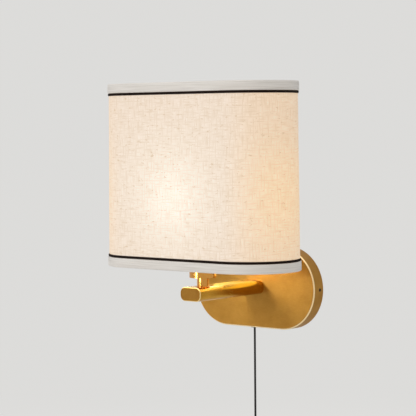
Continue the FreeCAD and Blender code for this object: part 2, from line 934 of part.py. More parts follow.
def shade_band(outer_inset, inner_inset, low, high):
    """A closed band of cloth, film or tape that follows the shade's outline."""
    outer = Part.makeLoft([shade_section(outer_inset, low), shade_section(outer_inset, high)], True, True)
    inner = Part.makeLoft([shade_section(inner_inset, low), shade_section(inner_inset, high)], True, True)
    return outer.cut(inner)


fabric_outside = tape_thickness
liner_outside = fabric_outside + fabric_thickness + glue_gap
hoop_outside = liner_outside + liner_thickness + face_gap
hoop_centre = hoop_outside + hoop_diameter / 2
tape_inside = hoop_outside + hoop_diameter + face_gap
hoop_rise = tape_fold + face_gap + hoop_diameter / 2


def make_shade_fabric():
    return shade_band(
        fabric_outside, fabric_outside + fabric_thickness,
        shade_bottom + tape_fold + face_gap, shade_top - tape_fold - face_gap,
    )


def make_shade_liner():
    return shade_band(
        liner_outside, liner_outside + liner_thickness,
        shade_bottom + tape_fold + face_gap, shade_top - tape_fold - face_gap,
    )


def spoke_slots():
    """Notches in the bottom tape's inner leg that let the spokes through to the hoop."""
    half = spoke_diameter / 2 + turn_gap
    low = shade_bottom + tape_fold
    high = shade_bottom + tape_inner_height + overcut
    hoop = shade_end_radius + shade_flare - hoop_centre
    slots = []
    for reach_x, reach_y in ((shade_straight / 2 + hoop, half), (half, hoop)):
        slots.append(block(axis + at(-reach_x, -reach_y, low), axis + at(reach_x, reach_y, high)))
    return Part.makeCompound(slots)


def make_tape(edge, inward):
    """Tape folded round one edge of the shade: outer leg, fold and inner leg."""
    def level(distance):
        return edge + inward * distance
    outer_leg = shade_band(0, fabric_outside - glue_gap, *sorted((edge, level(tape_height))))
    fold = shade_band(0, tape_inside + tape_fold, *sorted((edge, level(tape_fold))))
    inner_legs = sorted((edge, level(tape_inner_height)))
    inner_leg = shade_band(tape_inside, tape_inside + tape_fold, *inner_legs)
    return outer_leg.fuse(fold).fuse(inner_leg).removeSplitter()


def make_piping(edge, inward):
    start = edge + inward * (tape_height + glue_gap)
    end = start + inward * piping_height
    return shade_band(fabric_outside - piping_depth, fabric_outside - glue_gap, *sorted((start, end)))


def make_hoop(edge, inward):
    """Wire hoop inside one edge of the shade."""
    height = edge + inward * hoop_rise
    path = shade_section(hoop_centre, height)
    return wire_along(path, hoop_diameter)


def make_shade_spider():
    """Fitter ring for the lampholder, with four spokes that reach the bottom hoop."""
    middle = (fitter_bottom + fitter_top) / 2
    spider = pipe(
        fitter_outer_diameter, sleeve_diameter + 2 * turn_gap,
        axis + Z * fitter_bottom, axis + Z * fitter_top,
    )
    spoke_end = shade_bottom + hoop_rise + (spoke_diameter - hoop_diameter) / 2
    share = hoop_rise / shade_height
    end_radius = shade_end_radius + shade_flare * (1 - 2 * share) - hoop_centre
    root = fitter_outer_diameter / 2 - fitter_thickness
    keep_clear = rod(sleeve_diameter + 2 * turn_gap, axis, axis + Z * shade_top)
    for out, reach in ((X, shade_straight / 2 + end_radius), (Y, end_radius)):
        for side in (-1, 1):
            start = axis + out * (side * root) + Z * (middle - spoke_diameter / 2)
            end = axis + out * (side * reach) + Z * spoke_end
            spider = spider.fuse(rod(spoke_diameter, start, end))
    ring_zone = rod(
        shade_ring_diameter + 2 * turn_gap,
        axis + Z * lower_ring_bottom, axis + Z * fitter_bottom,
    )
    spider = spider.cut(keep_clear).cut(ring_zone)
    return spider.cut(make_hoop(shade_bottom, 1)).removeSplitter()


# ---- switch in the cord ----------------------------------------------------------------

switch_centre = at(cord_x, cord_y, (switch_top + switch_bottom) / 2)
switch_front = cord_y - switch_depth / 2
switch_back = cord_y + switch_depth / 2
rocker_pivot = at(cord_x, switch_front + rocker_pivot_depth, switch_centre.z)


def switch_shell():
    body = rounded_prism(
        switch_width, switch_length, switch_corner,
        at(cord_x, switch_back, switch_centre.z), X, Z, Y * -switch_depth,
    )
    rims = edges_on(body, at(0, switch_front, 0), Y) + edges_on(body, at(0, switch_back, 0), Y)
    body = body.makeFillet(switch_round, rims)
    cavity = rounded_prism(
        switch_width - 2 * switch_wall, switch_length - 2 * switch_end_wall, switch_corner - switch_wall,
        at(cord_x, switch_back - switch_wall, switch_centre.z), X, Z, Y * -(switch_depth - 2 * switch_wall),
    )
    return body.cut(cavity)


def switch_screw_places():
    half = switch_screw_spacing / 2
    return [at(cord_x, switch_back, switch_centre.z + side * half) for side in (-1, 1)]


def make_switch_base():
    keep = block(
        at(cord_x - switch_width, cord_y, switch_bottom - overcut),
        at(cord_x + switch_width, switch_back + overcut, switch_top + overcut),
    )
    body = switch_shell().common(keep)
    for place in switch_screw_places():
        inner = at(place.x, cord_y - overcut, place.z)
        body = body.cut(rod(switch_screw_diameter + 2 * slip_gap, place, inner))
    return body


def make_switch_cover():
    keep = block(
        at(cord_x - switch_width, switch_front - overcut, switch_bottom - overcut),
        at(cord_x + switch_width, cord_y, switch_top + overcut),
    )
    cover = switch_shell().common(keep)
    window_x = rocker_width / 2 + turn_gap
    window_z = rocker_length / 2 + turn_gap
    window = block(
        at(cord_x - window_x, switch_front - overcut, rocker_pivot.z - window_z),
        at(cord_x + window_x, cord_y - switch_wall, rocker_pivot.z + window_z),
    )
    cover = cover.cut(window)
    cheek = trunnion_length + 2 * turn_gap
    for side in (-1, 1):
        inner = cord_x + side * window_x
        low_x, high_x = sorted((inner, inner + side * cheek))
        ear = block(
            at(low_x, switch_front + switch_wall, rocker_pivot.z - trunnion_diameter),
            at(high_x, cord_y - slip_gap, rocker_pivot.z + trunnion_diameter),
        )
        cover = cover.fuse(ear)
    pin_half = X * (window_x + trunnion_length)
    socket = rod(trunnion_diameter + 2 * pivot_gap, rocker_pivot - pin_half, rocker_pivot + pin_half)
    cover = cover.cut(socket)
    for place in switch_screw_places():
        tip = at(place.x, cord_y - switch_screw_grip - slip_gap, place.z)
        cover = cover.cut(rod(switch_screw_diameter + 2 * thread_gap, place, tip))
    return cover.removeSplitter()


def make_switch_screws():
    screws = []
    for place in switch_screw_places():
        end = at(place.x, cord_y - switch_screw_grip, place.z)
        screws.append(rod(switch_screw_diameter, place - Y * slip_gap, end))
    return Part.makeCompound(screws)


def make_switch_contacts():
    """Two brass strips on the base's floor, one above and one below the rocker."""
    floor = switch_back - switch_wall
    half = switch_contact_width / 2
    near = switch_contact_gap / 2
    far = rocker_length / 2 + switch_contact_reach
    strips = []
    for side in (-1, 1):
        low, high = sorted((switch_centre.z + side * near, switch_centre.z + side * far))
        strips.append(block(
            at(cord_x - half, floor - contact_strip, low),
            at(cord_x + half, floor, high),
        ))
    return Part.makeCompound(strips)


def make_switch_rocker():
    """Rocker with a shallow valley, at rest with its lower half pressed in."""
    half = rocker_length / 2
    slope = math.tan(math.radians(rocker_throw / 2))
    outline = [
        (rocker_back, -half), (rocker_back, half),
        (-rocker_crown - half * slope, half), (-rocker_crown, 0), (-rocker_crown - half * slope, -half),
    ]
    start = rocker_pivot - X * (rocker_width / 2)
    corners = [start + at(0, y, z) for y, z in outline]
    body = Part.Face(Part.makePolygon(corners + corners[:1])).extrude(X * rocker_width)
    sweep_room = rod(rocker_length, rocker_pivot - X * rocker_width, rocker_pivot + X * rocker_width)
    pin_half = X * (rocker_width / 2 + trunnion_length)
    pins = rod(trunnion_diameter, rocker_pivot - pin_half, rocker_pivot + pin_half)
    rocker = body.common(sweep_room).fuse(pins)
    rocker.rotate(rocker_pivot, X, rocker_throw / 2)
    return rocker.removeSplitter()


# ---- hanging cord, coil and plug --------------------------------------------------------

def make_cord_upper():
    return rod(cord_diameter, at(cord_x, cord_y, cord_exit), at(cord_x, cord_y, switch_top))


def make_cord_lower():
    return rod(cord_diameter, at(cord_x, cord_y, switch_bottom), at(cord_x, cord_y, coil_start))


def coil_state(turn):
    """Radius and layer depth of the coil after so many turns, and the rate of both per turn."""
    radius = coil_radius
    depth = 0.0
    direction = -1
    for layer in range(coil_layers):
        last = layer == coil_layers - 1
        length = coil_last_layer if last else coil_turns
        if turn <= length or last:
            return radius + direction * coil_pitch * turn, depth, direction * coil_pitch, 0.0
        radius += direction * coil_pitch * length
        turn -= length
        if turn <= coil_climb:
            share = turn / coil_climb
            drift = direction * coil_pitch * (turn - turn * turn / coil_climb)
            rate = direction * coil_pitch * (1 - 2 * share)
            lift = coil_pitch * (share - math.sin(2 * math.pi * share) / (2 * math.pi))
            lift_rate = coil_pitch * (1 - math.cos(2 * math.pi * share)) / coil_climb
            return radius + drift, depth + lift, rate, lift_rate
        turn -= coil_climb
        depth += coil_pitch
        direction = -direction


def coil_point(turn):
    """A point on the coil's centre line and the line's direction there."""
    radius, depth, rate, lift_rate = coil_state(turn)
    angle = 2 * math.pi * turn
    outward = at(math.sin(angle), 0, math.cos(angle))
    along = at(math.cos(angle), 0, -math.sin(angle))
    place = at(coil_x, cord_y - depth, coil_z) + outward * radius
    direction = along * (2 * math.pi * radius) + outward * rate - Y * lift_rate
    return place, direction.normalize()


def arc_between(start, corner, end):
    weight = math.cos((corner - start).getAngle(end - corner) / 2)
    middle = (start + end + corner * (2 * weight)) * (1 / (2 + 2 * weight))
    return Part.Arc(start, middle, end).toShape()


def biarc(start, leave, end, arrive):
    """Two arcs that join two points along two given directions."""
    gap = end - start
    total = leave + arrive
    spare = 4 - total.dot(total)
    reach = gap.dot(total)
    setback = (math.sqrt(reach * reach + spare * gap.dot(gap)) - reach) / spare
    first = start + leave * setback
    second = end - arrive * setback
    joint = (first + second) * 0.5
    return [arc_between(start, first, joint), arc_between(joint, second, end)]


coil_total = (coil_turns + coil_climb) * (coil_layers - 1) + coil_last_layer


def coil_path():
    """Straight entry, a bend into the outermost turn, the turns, and a straight end."""
    top = at(cord_x, cord_y, coil_start)
    bend_start = top - Z * cord_diameter
    bend_corner = bend_start - Z * coil_entry_radius
    edges = [Part.LineSegment(top, bend_start).toShape()]
    place = bend_corner + X * coil_entry_radius
    edges.append(arc_between(bend_start, bend_corner, place))
    along = X
    steps = round(coil_total * coil_steps)
    for k in range(1, steps + 1):
        following, direction = coil_point(coil_total * k / steps)
        if k == steps:
            direction = Z * -1
        edges += biarc(place, along, following, direction)
        place, along = following, direction
    edges.append(Part.LineSegment(place, place - Z * cord_diameter).toShape())
    return Part.Wire(edges)


def least_gap(path, diameter):
    """The smallest distance between the surfaces of turns that lie beside each other."""
    spacing = diameter * 0.6
    points = path.discretize(Number=int(path.Length / spacing))
    skip = int(3 * diameter / spacing) + 2
    least = min(
        (a - b).Length
        for k, a in enumerate(points)
        for b in points[k + skip:]
        if abs(a.x - b.x) < 2 * diameter and abs(a.z - b.z) < 2 * diameter
    )
    return least - diameter


def make_cord_coil():
    path = coil_path()
    print("coil turns", coil_total, "least gap", round(least_gap(path, cord_diameter), 2))
    return sweep(path, cord_diameter, "coil")


coil_end = at(coil_x, cord_y, coil_z)
coil_end += X * (coil_radius - coil_pitch * (coil_turns - coil_last_layer))
coil_end -= Y * (coil_pitch * (coil_layers - 1))
coil_end -= Z * cord_diameter
relief_top = coil_end.z - plug_lead_length


def make_coil_tie():
    """A narrow strap round the bundle of turns."""
    turn = math.radians(tie_angle)
    outward = at(math.sin(turn), 0, math.cos(turn))
    along = at(math.cos(turn), 0, -math.sin(turn))
    inner_turn = coil_radius - coil_pitch * (coil_turns + coil_climb / 4)
    edge = cord_diameter / 2 + turn_gap
    low = inner_turn - edge - turn_gap
    high = coil_radius + edge
    depth = coil_pitch * (coil_layers - 1) + 2 * edge
    middle = at(coil_x, cord_y - coil_pitch * (coil_layers - 1) / 2, coil_z) + outward * ((low + high) / 2)
    start = middle - along * (tie_width / 2)
    hole = rounded_prism(high - low, depth, cord_diameter / 2, start, outward, Y, along * tie_width)
    strap = rounded_prism(
        high - low + 2 * tie_thickness, depth + 2 * tie_thickness, cord_diameter / 2 + tie_thickness,
        start, outward, Y, along * tie_width,
    )
    return strap.cut(hole)


def make_plug_lead():
    return rod(cord_diameter, coil_end, at(coil_end.x, coil_end.y, relief_top))


plug_top = relief_top - relief_length
plug_face = plug_top - plug_length


def make_plug_body():
    """Flat two-pin plug, narrow at the cord, with its tapered strain relief."""
    x, y = coil_end.x, coil_end.y
    outline = [
        (plug_top_width / 2, plug_top), (plug_width / 2, plug_top - plug_shoulder),
        (plug_width / 2, plug_face), (-plug_width / 2, plug_face),
        (-plug_width / 2, plug_top - plug_shoulder), (-plug_top_width / 2, plug_top),
    ]
    corners = [at(x + side, y - plug_thickness / 2, z) for side, z in outline]
    body = Part.Face(Part.makePolygon(corners + corners[:1])).extrude(Y * plug_thickness)
    upright = [edge for edge in body.Edges if abs(edge.tangentAt(edge.FirstParameter).y) > 0.99]
    body = body.makeFillet(plug_round, upright)
    rims = []
    for side in (-1, 1):
        rims += edges_on(body, at(x, y + side * plug_thickness / 2, 0), Y)
    body = body.makeFillet(plug_edge_round, rims)
    relief = Part.makeCone(
        relief_diameter / 2, cord_diameter / 2 + relief_lip, relief_length + relief_root,
        at(x, y, plug_top - relief_root), Z,
    )
    return body.fuse(relief).removeSplitter()


def make_plug_pins():
    pins = []
    for side in (-1, 1):
        start = at(coil_end.x + side * pin_spacing / 2, coil_end.y, plug_face)
        pin = rod(pin_diameter, start, start - Z * pin_length)
        tip = edges_on(pin, start - Z * pin_length, Z)
        pins.append(pin.makeFillet(pin_tip_round, tip))
    return Part.makeCompound(pins)


# ---- write the parts ----------------------------------------------------------------------

near_pole, far_pole = pole_places()
parts = {
    "wall_bracket": make_wall_bracket(),
    "cover_plate": make_cover_plate(),
    "side_screws": make_side_screws(),
    "bracket_screws": make_bracket_screws(),
    "terminal_block": make_terminal_block(),
    "terminal_tubes": make_terminal_tubes(),
    "terminal_screws": make_terminal_screws(),
    "cord_saddle": make_cord_saddle(),
    "cord_bridge": make_cord_bridge(),
    "cord_grommet": make_cord_grommet(),
    "cord_tail": make_cord_tail(),
    "cord_cores": make_cord_cores(),
    "lead_live": make_lead(far_pole, lead_loops[0], 1),
    "lead_neutral": make_lead(near_pole, lead_loops[1], -1),
    "arm_tube": make_arm_tube(),
    "arm_end_cap": make_arm_end_cap(),
    "arm_root_block": make_arm_root_block(),
    "arm_locating_pin": make_arm_locating_pin(),
    "arm_nipple": make_arm_nipple(),
    "arm_washer": make_arm_washer(),
    "arm_nut": make_arm_nut(),
    "stem_sleeve": make_stem_sleeve(),
    "stem_nipple": make_stem_nipple(),
    "stem_nut": make_stem_nut(),
    "holder_cup": make_holder_cup(),
    "holder_base": make_holder_base(),
    "contact_carrier": make_contact_carrier(),
    "holder_terminals": make_holder_terminals(),
    "centre_contact": make_centre_contact(),
    "screw_shell": make_screw_shell(),
    "holder_sleeve": make_holder_sleeve(),
    "shade_ring_lower": make_shade_ring(lower_ring_bottom),
    "shade_ring_upper": make_shade_ring(upper_ring_bottom),
    "shade_spider": make_shade_spider(),
    "bottom_hoop": make_hoop(shade_bottom, 1),
    "top_hoop": make_hoop(shade_top, -1),
    "shade_liner": make_shade_liner(),
    "shade_fabric": make_shade_fabric(),
    "bottom_tape": make_tape(shade_bottom, 1).cut(spoke_slots()),
    "top_tape": make_tape(shade_top, -1),
    "bottom_piping": make_piping(shade_bottom, 1),
    "top_piping": make_piping(shade_top, -1),
    "bulb_glass": make_bulb_glass(),
    "bulb_cap": make_bulb_cap(),
    "bulb_insulator": make_bulb_insulator(),
    "bulb_contact": make_bulb_contact(),
    "filament_stem": make_filament_stem(),
    "led_filaments": make_led_filaments(),
    "cord_upper": make_cord_upper(),
    "switch_base": make_switch_base(),
    "switch_cover": make_switch_cover(),
    "switch_contacts": make_switch_contacts(),
    "switch_screws": make_switch_screws(),
    "switch_rocker": make_switch_rocker(),
    "cord_lower": make_cord_lower(),
    "cord_coil": make_cord_coil(),
    "coil_tie": make_coil_tie(),
    "plug_lead": make_plug_lead(),
    "plug_body": make_plug_body(),
    "plug_pins": make_plug_pins(),
}

os.makedirs("parts", exist_ok=True)
for name, shape in parts.items():
    shape.exportStep(f"parts/{name}.step")
print("parts written:", len(parts))
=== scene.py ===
import bpy
import math
from mathutils import Matrix, Vector


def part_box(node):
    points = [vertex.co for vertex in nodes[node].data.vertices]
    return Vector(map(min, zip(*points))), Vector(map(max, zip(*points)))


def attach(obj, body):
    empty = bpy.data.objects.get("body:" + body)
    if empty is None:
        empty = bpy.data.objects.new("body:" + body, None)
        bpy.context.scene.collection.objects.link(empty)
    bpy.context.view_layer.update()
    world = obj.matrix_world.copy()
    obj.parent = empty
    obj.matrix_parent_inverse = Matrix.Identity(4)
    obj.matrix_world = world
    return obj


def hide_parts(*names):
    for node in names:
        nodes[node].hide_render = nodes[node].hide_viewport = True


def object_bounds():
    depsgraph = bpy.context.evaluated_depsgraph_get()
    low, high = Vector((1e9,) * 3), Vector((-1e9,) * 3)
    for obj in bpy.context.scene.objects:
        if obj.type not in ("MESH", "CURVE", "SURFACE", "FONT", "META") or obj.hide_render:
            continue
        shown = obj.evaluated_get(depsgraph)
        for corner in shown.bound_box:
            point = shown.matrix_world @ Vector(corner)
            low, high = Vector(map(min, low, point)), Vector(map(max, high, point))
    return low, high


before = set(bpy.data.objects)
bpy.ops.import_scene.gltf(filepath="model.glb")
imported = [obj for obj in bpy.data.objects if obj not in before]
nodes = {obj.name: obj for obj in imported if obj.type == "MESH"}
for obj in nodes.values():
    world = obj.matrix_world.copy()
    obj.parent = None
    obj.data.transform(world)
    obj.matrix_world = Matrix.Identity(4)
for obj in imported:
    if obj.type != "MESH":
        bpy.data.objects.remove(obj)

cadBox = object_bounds()
print("frame loaded,", len(nodes), "nodes")

# camera: fitted to the photograph's outlines, in metres and degrees

cameraPlan = {
    "azimuth": 40.347,
    "elevation": 2.808,
    "roll": -0.519,
    "aim": (0.008445, -0.108, 0.09621),
    "distance": 1.9011,
    "focalPixels": 1692.85,
    "framePixels": 416,
    "sensor": 36.0,     # in millimetres
    "farthest": 50.0,
}


def makeCamera(plan):
    turn = math.radians(plan["azimuth"])
    rise = math.radians(plan["elevation"])
    roll = math.radians(plan["roll"])
    back = Vector((math.sin(turn) * math.cos(rise), -math.cos(turn) * math.cos(rise), math.sin(rise)))
    level = Vector((0, 0, 1)).cross(back).normalized()
    upward = back.cross(level)
    right = level * math.cos(roll) + upward * math.sin(roll)
    up = upward * math.cos(roll) - level * math.sin(roll)
    data = bpy.data.cameras.new("camera")
    data.sensor_width = plan["sensor"]
    data.lens = plan["sensor"] * plan["focalPixels"] / plan["framePixels"]
    data.clip_end = plan["farthest"]
    camera = bpy.data.objects.new("camera", data)
    bpy.context.scene.collection.objects.link(camera)
    place = Vector(plan["aim"]) + back * plan["distance"]
    camera.matrix_world = Matrix.Translation(place) @ Matrix((right, up, back)).transposed().to_4x4()
    bpy.context.scene.camera = camera


makeCamera(cameraPlan)
bpy.context.scene.view_settings.view_transform = "Standard"
print("camera set")

# hanging cord: straight down through the switch, into the tied coil, and down to the plug

cordPlan = {
    "diameter": 0.0025,
    "length": 1.8,
    "coilRadius": 0.021,    # of its outermost turn
    "pitch": 0.003,         # between turns and between layers
    "turns": 4,             # in one layer
    "layers": 4,
    "lastLayer": 3.75,
    "climb": 0.5,           # turns in which the coil climbs a layer
    "entryRadius": 0.01,    # of the bend into the coil
    "pointsPerTurn": 16,
    "profileSteps": 5,
    "pathSteps": 6,
}


def coilState(plan, turn):
    # radius and depth after so many turns: flat spirals in and out, with an eased climb between them
    radius = plan["coilRadius"]
    depth = 0.0
    direction = -1
    for layer in range(plan["layers"]):
        last = layer == plan["layers"] - 1
        length = plan["lastLayer"] if last else plan["turns"]
        if turn <= length or last:
            return radius + direction * plan["pitch"] * turn, depth
        radius += direction * plan["pitch"] * length
        turn -= length
        if turn <= plan["climb"]:
            share = turn / plan["climb"]
            drift = direction * plan["pitch"] * (turn - turn * turn / plan["climb"])
            lift = plan["pitch"] * (share - math.sin(2 * math.pi * share) / (2 * math.pi))
            return radius + drift, depth + lift
        turn -= plan["climb"]
        depth += plan["pitch"]
        direction = -direction


def makeCord(plan):
    upperLow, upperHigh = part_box("cord_upper")
    x = (upperLow[0] + upperHigh[0]) / 2
    y = (upperLow[1] + upperHigh[1]) / 2
    exitPoint = Vector((x, y, upperHigh[2]))
    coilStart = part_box("cord_lower")[0][2]
    bend = plan["entryRadius"]
    side = bend * math.tan(math.pi / 8)     # from each end of the quarter bend to its control point
    bendTop = coilStart - plan["diameter"]
    centre = Vector((x + bend, y, bendTop - bend - plan["coilRadius"]))
    route = [exitPoint, Vector((x, y, bendTop + side)), Vector((x, y, bendTop - side))]
    route.append(Vector((x + bend - side, y, bendTop - bend)))
    total = plan["turns"] * (plan["layers"] - 1) + plan["lastLayer"] + plan["climb"] * (plan["layers"] - 1)
    steps = round(total * plan["pointsPerTurn"])
    reach = 1 / math.cos(math.pi / plan["pointsPerTurn"])       # the spline runs inside its points
    for k in range(steps):
        turn = total * (k + 0.5) / steps
        radius, depth = coilState(plan, turn)
        angle = 2 * math.pi * turn
        outward = Vector((math.sin(angle), 0, math.cos(angle)))
        route.append(centre + outward * radius * reach + Vector((0, -depth, 0)))
    leadLow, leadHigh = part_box("plug_lead")
    endX = (leadLow[0] + leadHigh[0]) / 2
    endY = (leadLow[1] + leadHigh[1]) / 2
    route.append(Vector((endX, endY, leadHigh[2])))
    route.append(Vector((endX, endY, leadLow[2])))
    data = bpy.data.curves.new("hangingCord", "CURVE")
    data.dimensions = "3D"
    data.bevel_depth = 1.0      # times each point's radius
    data.bevel_resolution = plan["profileSteps"]
    data.resolution_u = plan["pathSteps"]
    data.use_fill_caps = True
    spline = data.splines.new("NURBS")
    spline.points.add(len(route) - 1)
    for point, place in zip(spline.points, route):
        point.co = (*place, 1)
        point.radius = plan["diameter"] / 2
    spline.order_u = 3
    spline.use_endpoint_u = True
    cord = bpy.data.objects.new("hangingCord", data)
    bpy.context.scene.collection.objects.link(cord)
    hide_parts("cord_upper", "cord_lower", "cord_coil", "plug_lead")
    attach(cord, "wall_unit")
    onCord = ["switch_base", "switch_cover", "switch_contacts", "switch_screws", "switch_rocker"]
    onCord += ["coil_tie", "plug_body", "plug_pins"]
    return cord


hangingCord = makeCord(cordPlan)
print("cord made")

# shader helpers


def addNode(tree, kind, inputs=None, **attributes):
    node = tree.nodes.new(kind)
    for key, value in attributes.items():
        setattr(node, key, value)
    for key, value in (inputs or {}).items():
        if isinstance(value, bpy.types.NodeSocket):
            tree.links.new(value, node.inputs[key])
        else:
            node.inputs[key].default_value = value
    return node


def doMath(tree, operation, first, second=0.0, clamp=False):
    node = addNode(tree, "ShaderNodeMath", {0: first, 1: second}, operation=operation, use_clamp=clamp)
    return node.outputs[0]


def mixColours(tree, factor, first, second):
    return addNode(tree, "ShaderNodeMix", {0: factor, 6: first, 7: second}, data_type="RGBA").outputs[2]


def mapRange(tree, value, fromLow, fromHigh, toLow, toHigh, smooth=False):
    kind = "SMOOTHSTEP" if smooth else "LINEAR"
    levels = {0: value, 1: fromLow, 2: fromHigh, 3: toLow, 4: toHigh}
    return addNode(tree, "ShaderNodeMapRange", levels, interpolation_type=kind).outputs[0]


def newGroup(name, inputs, outputs):
    group = bpy.data.node_groups.new(name, "ShaderNodeTree")
    for label, kind, default in inputs:
        socket = group.interface.new_socket(name=label, in_out="INPUT", socket_type=kind)
        if default is not None:
            socket.default_value = default
    for label in outputs:
        group.interface.new_socket(name=label, in_out="OUTPUT", socket_type="NodeSocketFloat")
    return group, group.nodes.new("NodeGroupInput").outputs, group.nodes.new("NodeGroupOutput").inputs


def placeGroup(tree, group, inputs):
    return addNode(tree, "ShaderNodeGroup", inputs, node_tree=group).outputs


def opaque(colour):
    return (*colour, 1.0)


# node group: fine grain such as brushing or moulding texture, over soft cloudy tone

grainPlan = {
    "fineDetail": 3.0,
    "fineRoughness": 0.6,
    "fineRange": (0.3, 0.7),
    "fineShare": 0.35,
    "softDetail": 4.0,
    "softRoughness": 0.55,
    "softRange": (0.32, 0.68),
    "softShare": 0.65,
}


def makeGrainGroup(plan):
    inputs = [
        ("Place", "NodeSocketVector", None),
        ("Stretch", "NodeSocketVector", (1.0, 1.0, 1.0)),
        ("Scale", "NodeSocketFloat", 1000.0),
        ("Soft Scale", "NodeSocketFloat", 60.0),
    ]
    group, given, result = newGroup("fineGrain", inputs, ["Height", "Tone"])
    factors = {0: given["Place"], 1: given["Stretch"]}
    stretched = addNode(group, "ShaderNodeVectorMath", factors, operation="MULTIPLY").outputs[0]
    fine = addNode(group, "ShaderNodeTexNoise", {
        "Vector": stretched, "Scale": given["Scale"], "Detail": plan["fineDetail"],
        "Roughness": plan["fineRoughness"],
    }).outputs[0]
    soft = addNode(group, "ShaderNodeTexNoise", {
        "Vector": given["Place"], "Scale": given["Soft Scale"], "Detail": plan["softDetail"],
        "Roughness": plan["softRoughness"],
    }).outputs[0]
    group.links.new(fine, result["Height"])
    fineTone = mapRange(group, fine, *plan["fineRange"], 0.0, plan["fineShare"])
    softTone = mapRange(group, soft, *plan["softRange"], 0.0, plan["softShare"])
    group.links.new(doMath(group, "ADD", fineTone, softTone, clamp=True), result["Tone"])
    return group


# node group: dust that lies in patches on upward faces

dustPlan = {
    "colour": (0.42, 0.38, 0.33),
    "dulling": 0.4,         # roughness that full dust adds
    "facing": (0.2, 1.0),       # upward share of the normal where dust starts and is full
    "patchRange": (0.42, 0.72),
    "leastPatch": 0.15,
    "detail": 6.0,
    "roughness": 0.65,
}


def makeDustGroup(plan):
    inputs = [
        ("Place", "NodeSocketVector", None),
        ("Amount", "NodeSocketFloat", 0.3),
        ("Scale", "NodeSocketFloat", 45.0),
    ]
    group, given, result = newGroup("restingDust", inputs, ["Mask"])
    normal = addNode(group, "ShaderNodeNewGeometry").outputs["Normal"]
    facing = addNode(group, "ShaderNodeSeparateXYZ", {0: normal}).outputs[2]
    upward = mapRange(group, facing, *plan["facing"], 0.0, 1.0, True)
    cloud = addNode(group, "ShaderNodeTexNoise", {
        "Vector": given["Place"], "Scale": given["Scale"], "Detail": plan["detail"],
        "Roughness": plan["roughness"],
    }).outputs[0]
    patches = mapRange(group, cloud, *plan["patchRange"], plan["leastPatch"], 1.0, True)
    lying = doMath(group, "MULTIPLY", upward, patches)
    group.links.new(doMath(group, "MULTIPLY", lying, given["Amount"], clamp=True), result["Mask"])
    return group


# node group: woven threads with thick places and flecks, from a place on the cloth in metres

weavePlan = {
    "slubRange": (0.34, 0.72),
    "slubDetail": 2.0,
    "slubRoughness": 0.5,
    "thinHeight": 0.35,     # height of a thread with no slub, where a full slub adds 1
    "crossShift": 40.0,     # so that the crossing threads have slubs of their own
    "fleckWidth": 0.45,
    "fleckRange": (0.61, 0.69),
    "fleckDetail": 2.0,
    "fleckRoughness": 0.7,
}


def makeWeaveGroup(plan):
    inputs = [
        ("Place", "NodeSocketVector", None),
        ("Threads", "NodeSocketFloat", 1800.0),
        ("Slub Length", "NodeSocketFloat", 0.02),
        ("Slub Width", "NodeSocketFloat", 0.0015),
        ("Crossing", "NodeSocketFloat", 1.0),
        ("Fleck Scale", "NodeSocketFloat", 330.0),
    ]
    group, given, result = newGroup("wovenThreads", inputs, ["Height", "Slub", "Fleck"])
    axes = addNode(group, "ShaderNodeSeparateXYZ", {0: given["Place"]}).outputs
    rate = doMath(group, "MULTIPLY", given["Threads"], math.pi)
    slubRate = doMath(group, "DIVIDE", 1.0, given["Slub Length"])
    crossRate = doMath(group, "DIVIDE", 1.0, given["Slub Width"])
    heights = []
    slubs = []
    for along, across, shift in ((axes[0], axes[1], 0.0), (axes[1], axes[0], plan["crossShift"])):
        wave = doMath(group, "ABSOLUTE", doMath(group, "SINE", doMath(group, "MULTIPLY", across, rate)))
        spot = addNode(group, "ShaderNodeCombineXYZ", {
            0: doMath(group, "MULTIPLY", along, slubRate),
            1: doMath(group, "MULTIPLY", across, crossRate),
            2: shift,
        })
        streak = addNode(group, "ShaderNodeTexNoise", {
            "Vector": spot.outputs[0], "Scale": 1.0, "Detail": plan["slubDetail"],
            "Roughness": plan["slubRoughness"],
        })
        share = mapRange(group, streak.outputs[0], *plan["slubRange"], 0.0, 1.0)
        height = doMath(group, "MULTIPLY", wave, doMath(group, "ADD", share, plan["thinHeight"]))
        if shift:       # the crossing threads
            share = doMath(group, "MULTIPLY", share, given["Crossing"])
            height = doMath(group, "MULTIPLY", height, given["Crossing"])
        slubs.append(share)
        heights.append(height)
    group.links.new(doMath(group, "MAXIMUM", heights[0], heights[1]), result["Height"])
    group.links.new(doMath(group, "MAXIMUM", slubs[0], slubs[1]), result["Slub"])
    stretched = addNode(group, "ShaderNodeCombineXYZ", {
        0: doMath(group, "MULTIPLY", axes[0], plan["fleckWidth"]), 1: axes[1], 2: axes[2],
    })
    flecks = addNode(group, "ShaderNodeTexNoise", {
        "Vector": stretched.outputs[0], "Scale": given["Fleck Scale"], "Detail": plan["fleckDetail"],
        "Roughness": plan["fleckRoughness"],
    })
    fleckMask = mapRange(group, flecks.outputs[0], *plan["fleckRange"], 0.0, 1.0, True)
    group.links.new(fleckMask, result["Fleck"])
    return group


grainGroup = makeGrainGroup(grainPlan)
dustGroup = makeDustGroup(dustPlan)
weaveGroup = makeWeaveGroup(weavePlan)


def newMaterial(name):
    material = bpy.data.materials.new(name)
    material.use_nodes = True
    tree = material.node_tree
    tree.nodes.clear()
    shader = tree.nodes.new("ShaderNodeBsdfPrincipled")
    ending = tree.nodes.new("ShaderNodeOutputMaterial")
    tree.links.new(shader.outputs[0], ending.inputs[0])
    place = tree.nodes.new("ShaderNodeTexCoord").outputs["Object"]
    return material, tree, shader, place


bevelRange = (0.08, 0.2)        # how far off an even lean the bevels' painted highlight starts to fade and is gone
